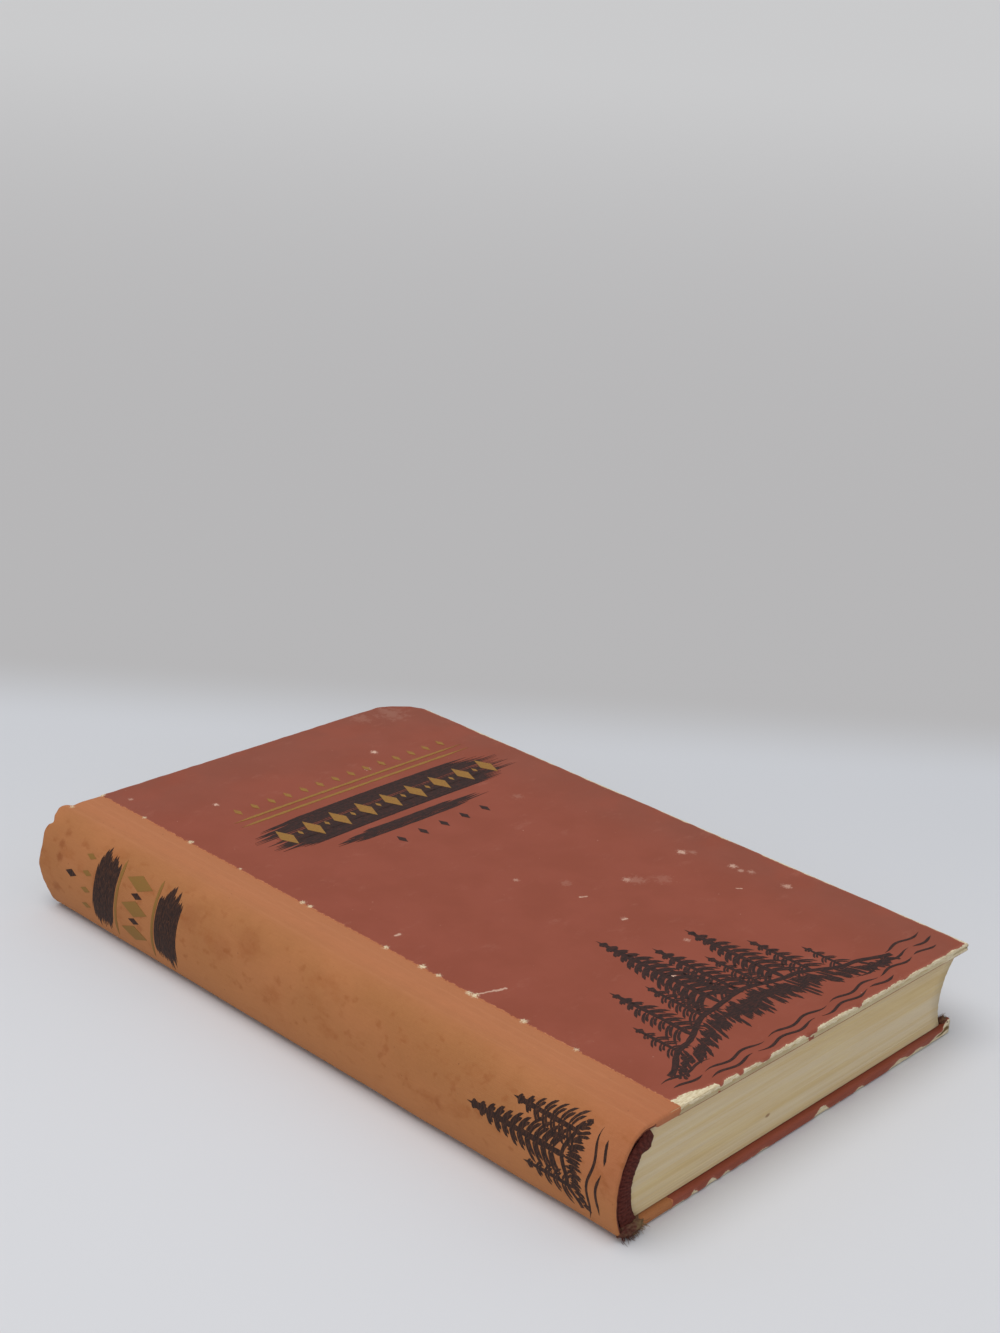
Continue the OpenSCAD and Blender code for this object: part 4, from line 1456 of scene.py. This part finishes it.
def front_ochre(bm, place):
    dice = random.Random(5)
    for k in range(9):
        lozenge(bm, place, 31.5 + 9.6 * k, 50.4, 4.4, 9.6)
    for k in range(8):
        lozenge(bm, place, 36.3 + 9.6 * k, 50.4, 1.3, 2.6)
    for b in (62.5, 65.6):
        hair(bm, place, (26, b), (114, b + 0.6), 1.0, 0.2, dice)
    for k in range(14):
        lozenge(bm, place, 31.5 + 6 * k, 70.5, 1.9, 4.0)


print_ink("front_print_dark", dark_ink, "front_cover", on_front, front_dark)
print_ink("front_print_ochre", ochre_ink, "front_cover",
          lambda a, b, lift: on_front(a, b, lift + OVER_DARK), front_ochre)

# %% [markdown]
# The spine carries the same design, smaller: two brushed bands with lozenges between them,
# and three firs at the foot.

# %% Print on the spine
def on_spine(a, b, lift):
    """A place on the outer side of the cloth, at a distance a across it and a height b."""
    run = front_run
    k = next(i for i in range(len(run) - 1) if run[i + 1] <= a or i == len(run) - 2)
    t = (run[k] - a) / (run[k] - run[k + 1])
    spot, normal = (here.lerp(there, t) for here, there in zip(front_points[k], front_points[k + 1]))
    x, z = spot + normal * (cloth_wave(a, b, on_board(a)) - cloth_sink(a) + lift + OVER_CLOTH)
    return Vector((hinge_x + x, b, z))


def spine_dark(bm, place):
    dice = random.Random(23)
    brush(bm, place, (-5.5, 75), (-30.0, 75.5), 8, 12, 3.0, 0.3, dice)
    brush(bm, place, (-6.5, 49), (-30.5, 48.6), 8, 12, 3.0, -0.3, dice)
    for a in (-14.3, -21.3):
        lozenge(bm, place, a, 62.0, 1.8, 4.4)
    lozenge(bm, place, -17.8, 89.0, 2.2, 4.6)
    crest = [(-28, -93), (-23, -89), (-16.5, -86.5), (-10, -88.5), (-5.5, -92.5)]
    hill(bm, place, crest, 4.6, 1.1, dice)
    for a, b, high, wide in ((-23.5, -90, 14, 8), (-17, -87, 29, 13), (-10.5, -89, 19, 10)):
        fir(bm, place, a, b, high, wide, dice)
    for b, start, end in ((-94.8, -30, -6), (-97.4, -27, -9)):
        waves(bm, place, start, end, b, 0.7, dice)


def spine_ochre(bm, place):
    dice = random.Random(7)
    for a in (-10.8, -17.8, -24.8):
        lozenge(bm, place, a, 62.0, 4.4, 10.4)
    for b in (54.4, 69.6):
        hair(bm, place, (-7, b), (-29, b), 0.9, 0.0, dice)
    for k in range(4):
        lozenge(bm, place, -10.8 - 4.7 * k, 82.5, 1.7, 3.8)


print_ink("spine_print_dark", spine_dark_ink, "book_block", on_spine, spine_dark)
print_ink("spine_print_ochre", spine_ochre_ink, "book_block",
          lambda a, b, lift: on_spine(a, b, lift + OVER_DARK), spine_ochre)

# %% [markdown]
# ## Frayed cloth
# At the tail the cloth has worn through at the foot of the spine, where the book stood on
# its shelf. Felted thread has come out as a small brown tuft. It is a lumpy core with loose
# fibres, each a thin round thread laid along a drifting path.


# %% Tuft
def make_fray():
    material, tree = new_material("frayed thread")
    old, _, shade = apart(tree, on_sheet(tree))
    base = tint(tree, fit(tree, old, 0.2, 0.8), colour(84, 36, 26), colour(112, 88, 56))
    return coat(material, wash(tree, base, shade, 0.6, colour(160, 136, 100)), 0.95)


fray_material = make_fray()


def thread(bm, path, radius, tone, shade):
    """A thin round thread along a path."""
    def place(i, turn):
        run = (path[min(i + 1, len(path) - 1)] - path[max(i - 1, 0)]).normalized()
        side = run.cross(Vector((0.3, 0.2, 1))).normalized()
        angle = turn * math.tau
        thin = radius * (1 - 0.6 * i / (len(path) - 1))
        spot = path[i] + (side * math.cos(angle) + run.cross(side) * math.sin(angle)) * thin
        return Vector((hinge_x + spot.x, spot.y, spot.z)), Vector((tone, i, shade))

    lay_grid(range(len(path)), [k / 4 for k in range(5)], place, bm)


# Where threads start in a lump, and how far they stray from its way: (low, high) in x, y and z.
ROOTS = ((-0.8, 0.8), (-0.3, 0.6), (-0.8, 0.7))
STRAY = ((-0.9, 0.9), (-0.4, 0.4), (-0.6, 0.5))
TABLE_Z = 0.05


def make_tuft(name, core, size, way, count, long, body, seed):
    """A felted lump at core (x from the hinge line, y, z) with loose threads that point along way."""
    dice = random.Random(seed)
    bm = bmesh.new()
    at = bm.verts.layers.float_vector.new("at")

    def age(x):
        return smooth((x - core.x) / (2 * size[0]) + 0.5)

    for vert in bmesh.ops.create_icosphere(bm, subdivisions=4, radius=1.0)["verts"]:
        x, y, z = vert.co
        swell = 1 + 0.3 * rough(x * 9, y * 9, z * 9, 3.0) + 0.16 * rough(x * 30, y * 30, z * 30, 3.0)
        spot = Vector(c * s for c, s in zip(vert.co * swell, size)) + core
        tone = age(spot.x) * 0.7 + 0.5 * rough(spot.x, spot.y, spot.z, 1.2)
        vert[at] = Vector((tone, 0, 0.15 + 0.5 * rough(spot.x + 40, spot.y, spot.z, 0.5)))
        vert.co = Vector((hinge_x + spot.x, spot.y, max(TABLE_Z, spot.z)))
    for _ in range(count):
        root = core + Vector(dice.uniform(*span) * s for span, s in zip(ROOTS, size))
        aim = (way + Vector(dice.uniform(*span) for span in STRAY)).normalized()
        path, reach = [root], long * dice.uniform(0.5, 1.1)
        for _ in range(6):
            aim = (aim + Vector(dice.uniform(-0.4, 0.4) for _ in range(3)) + Vector((0, 0, -0.12))).normalized()
            step = path[-1] + aim * reach / 6
            path.append(Vector((step.x, step.y, max(TABLE_Z + 0.06, step.z))))
        old = age(root.x)
        thread(bm, path, dice.uniform(0.05, 0.12), old * 0.8 + dice.uniform(-0.1, 0.3), dice.uniform(0, 0.8) * old)
    bmesh.ops.remove_doubles(bm, verts=bm.verts, dist=0.002)
    bmesh.ops.recalc_face_normals(bm, faces=bm.faces)
    tuft = make_piece(bm, name, fray_material)
    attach(tuft, body)


make_tuft("tail_tuft", Vector((-4.3, -102.1, 2.0)), (3.9, 1.5, 1.7), Vector((0.3, -1, -0.1)), 150, 2.7,
          "book_block", 3)
make_tuft("corner_tuft", Vector((120.7, -101.0, 3.8)), (1.0, 1.3, 1.0), Vector((0.5, 0.3, 0.6)), 110, 1.7,
          "back_cover", 8)

# %% [markdown]
# ## Boards and linings
# The boards and the linings on the folded backs are right as they come from the model, and
# take a material only.

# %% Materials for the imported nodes
for node, material in (("front_board", card_material), ("back_board", card_material),
                       ("spine_lining", lining_material), ("spine_gauze", gauze_material)):
    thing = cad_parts[node]
    for slot in thing.material_slots:
        slot.material = material
print("plain nodes dressed")
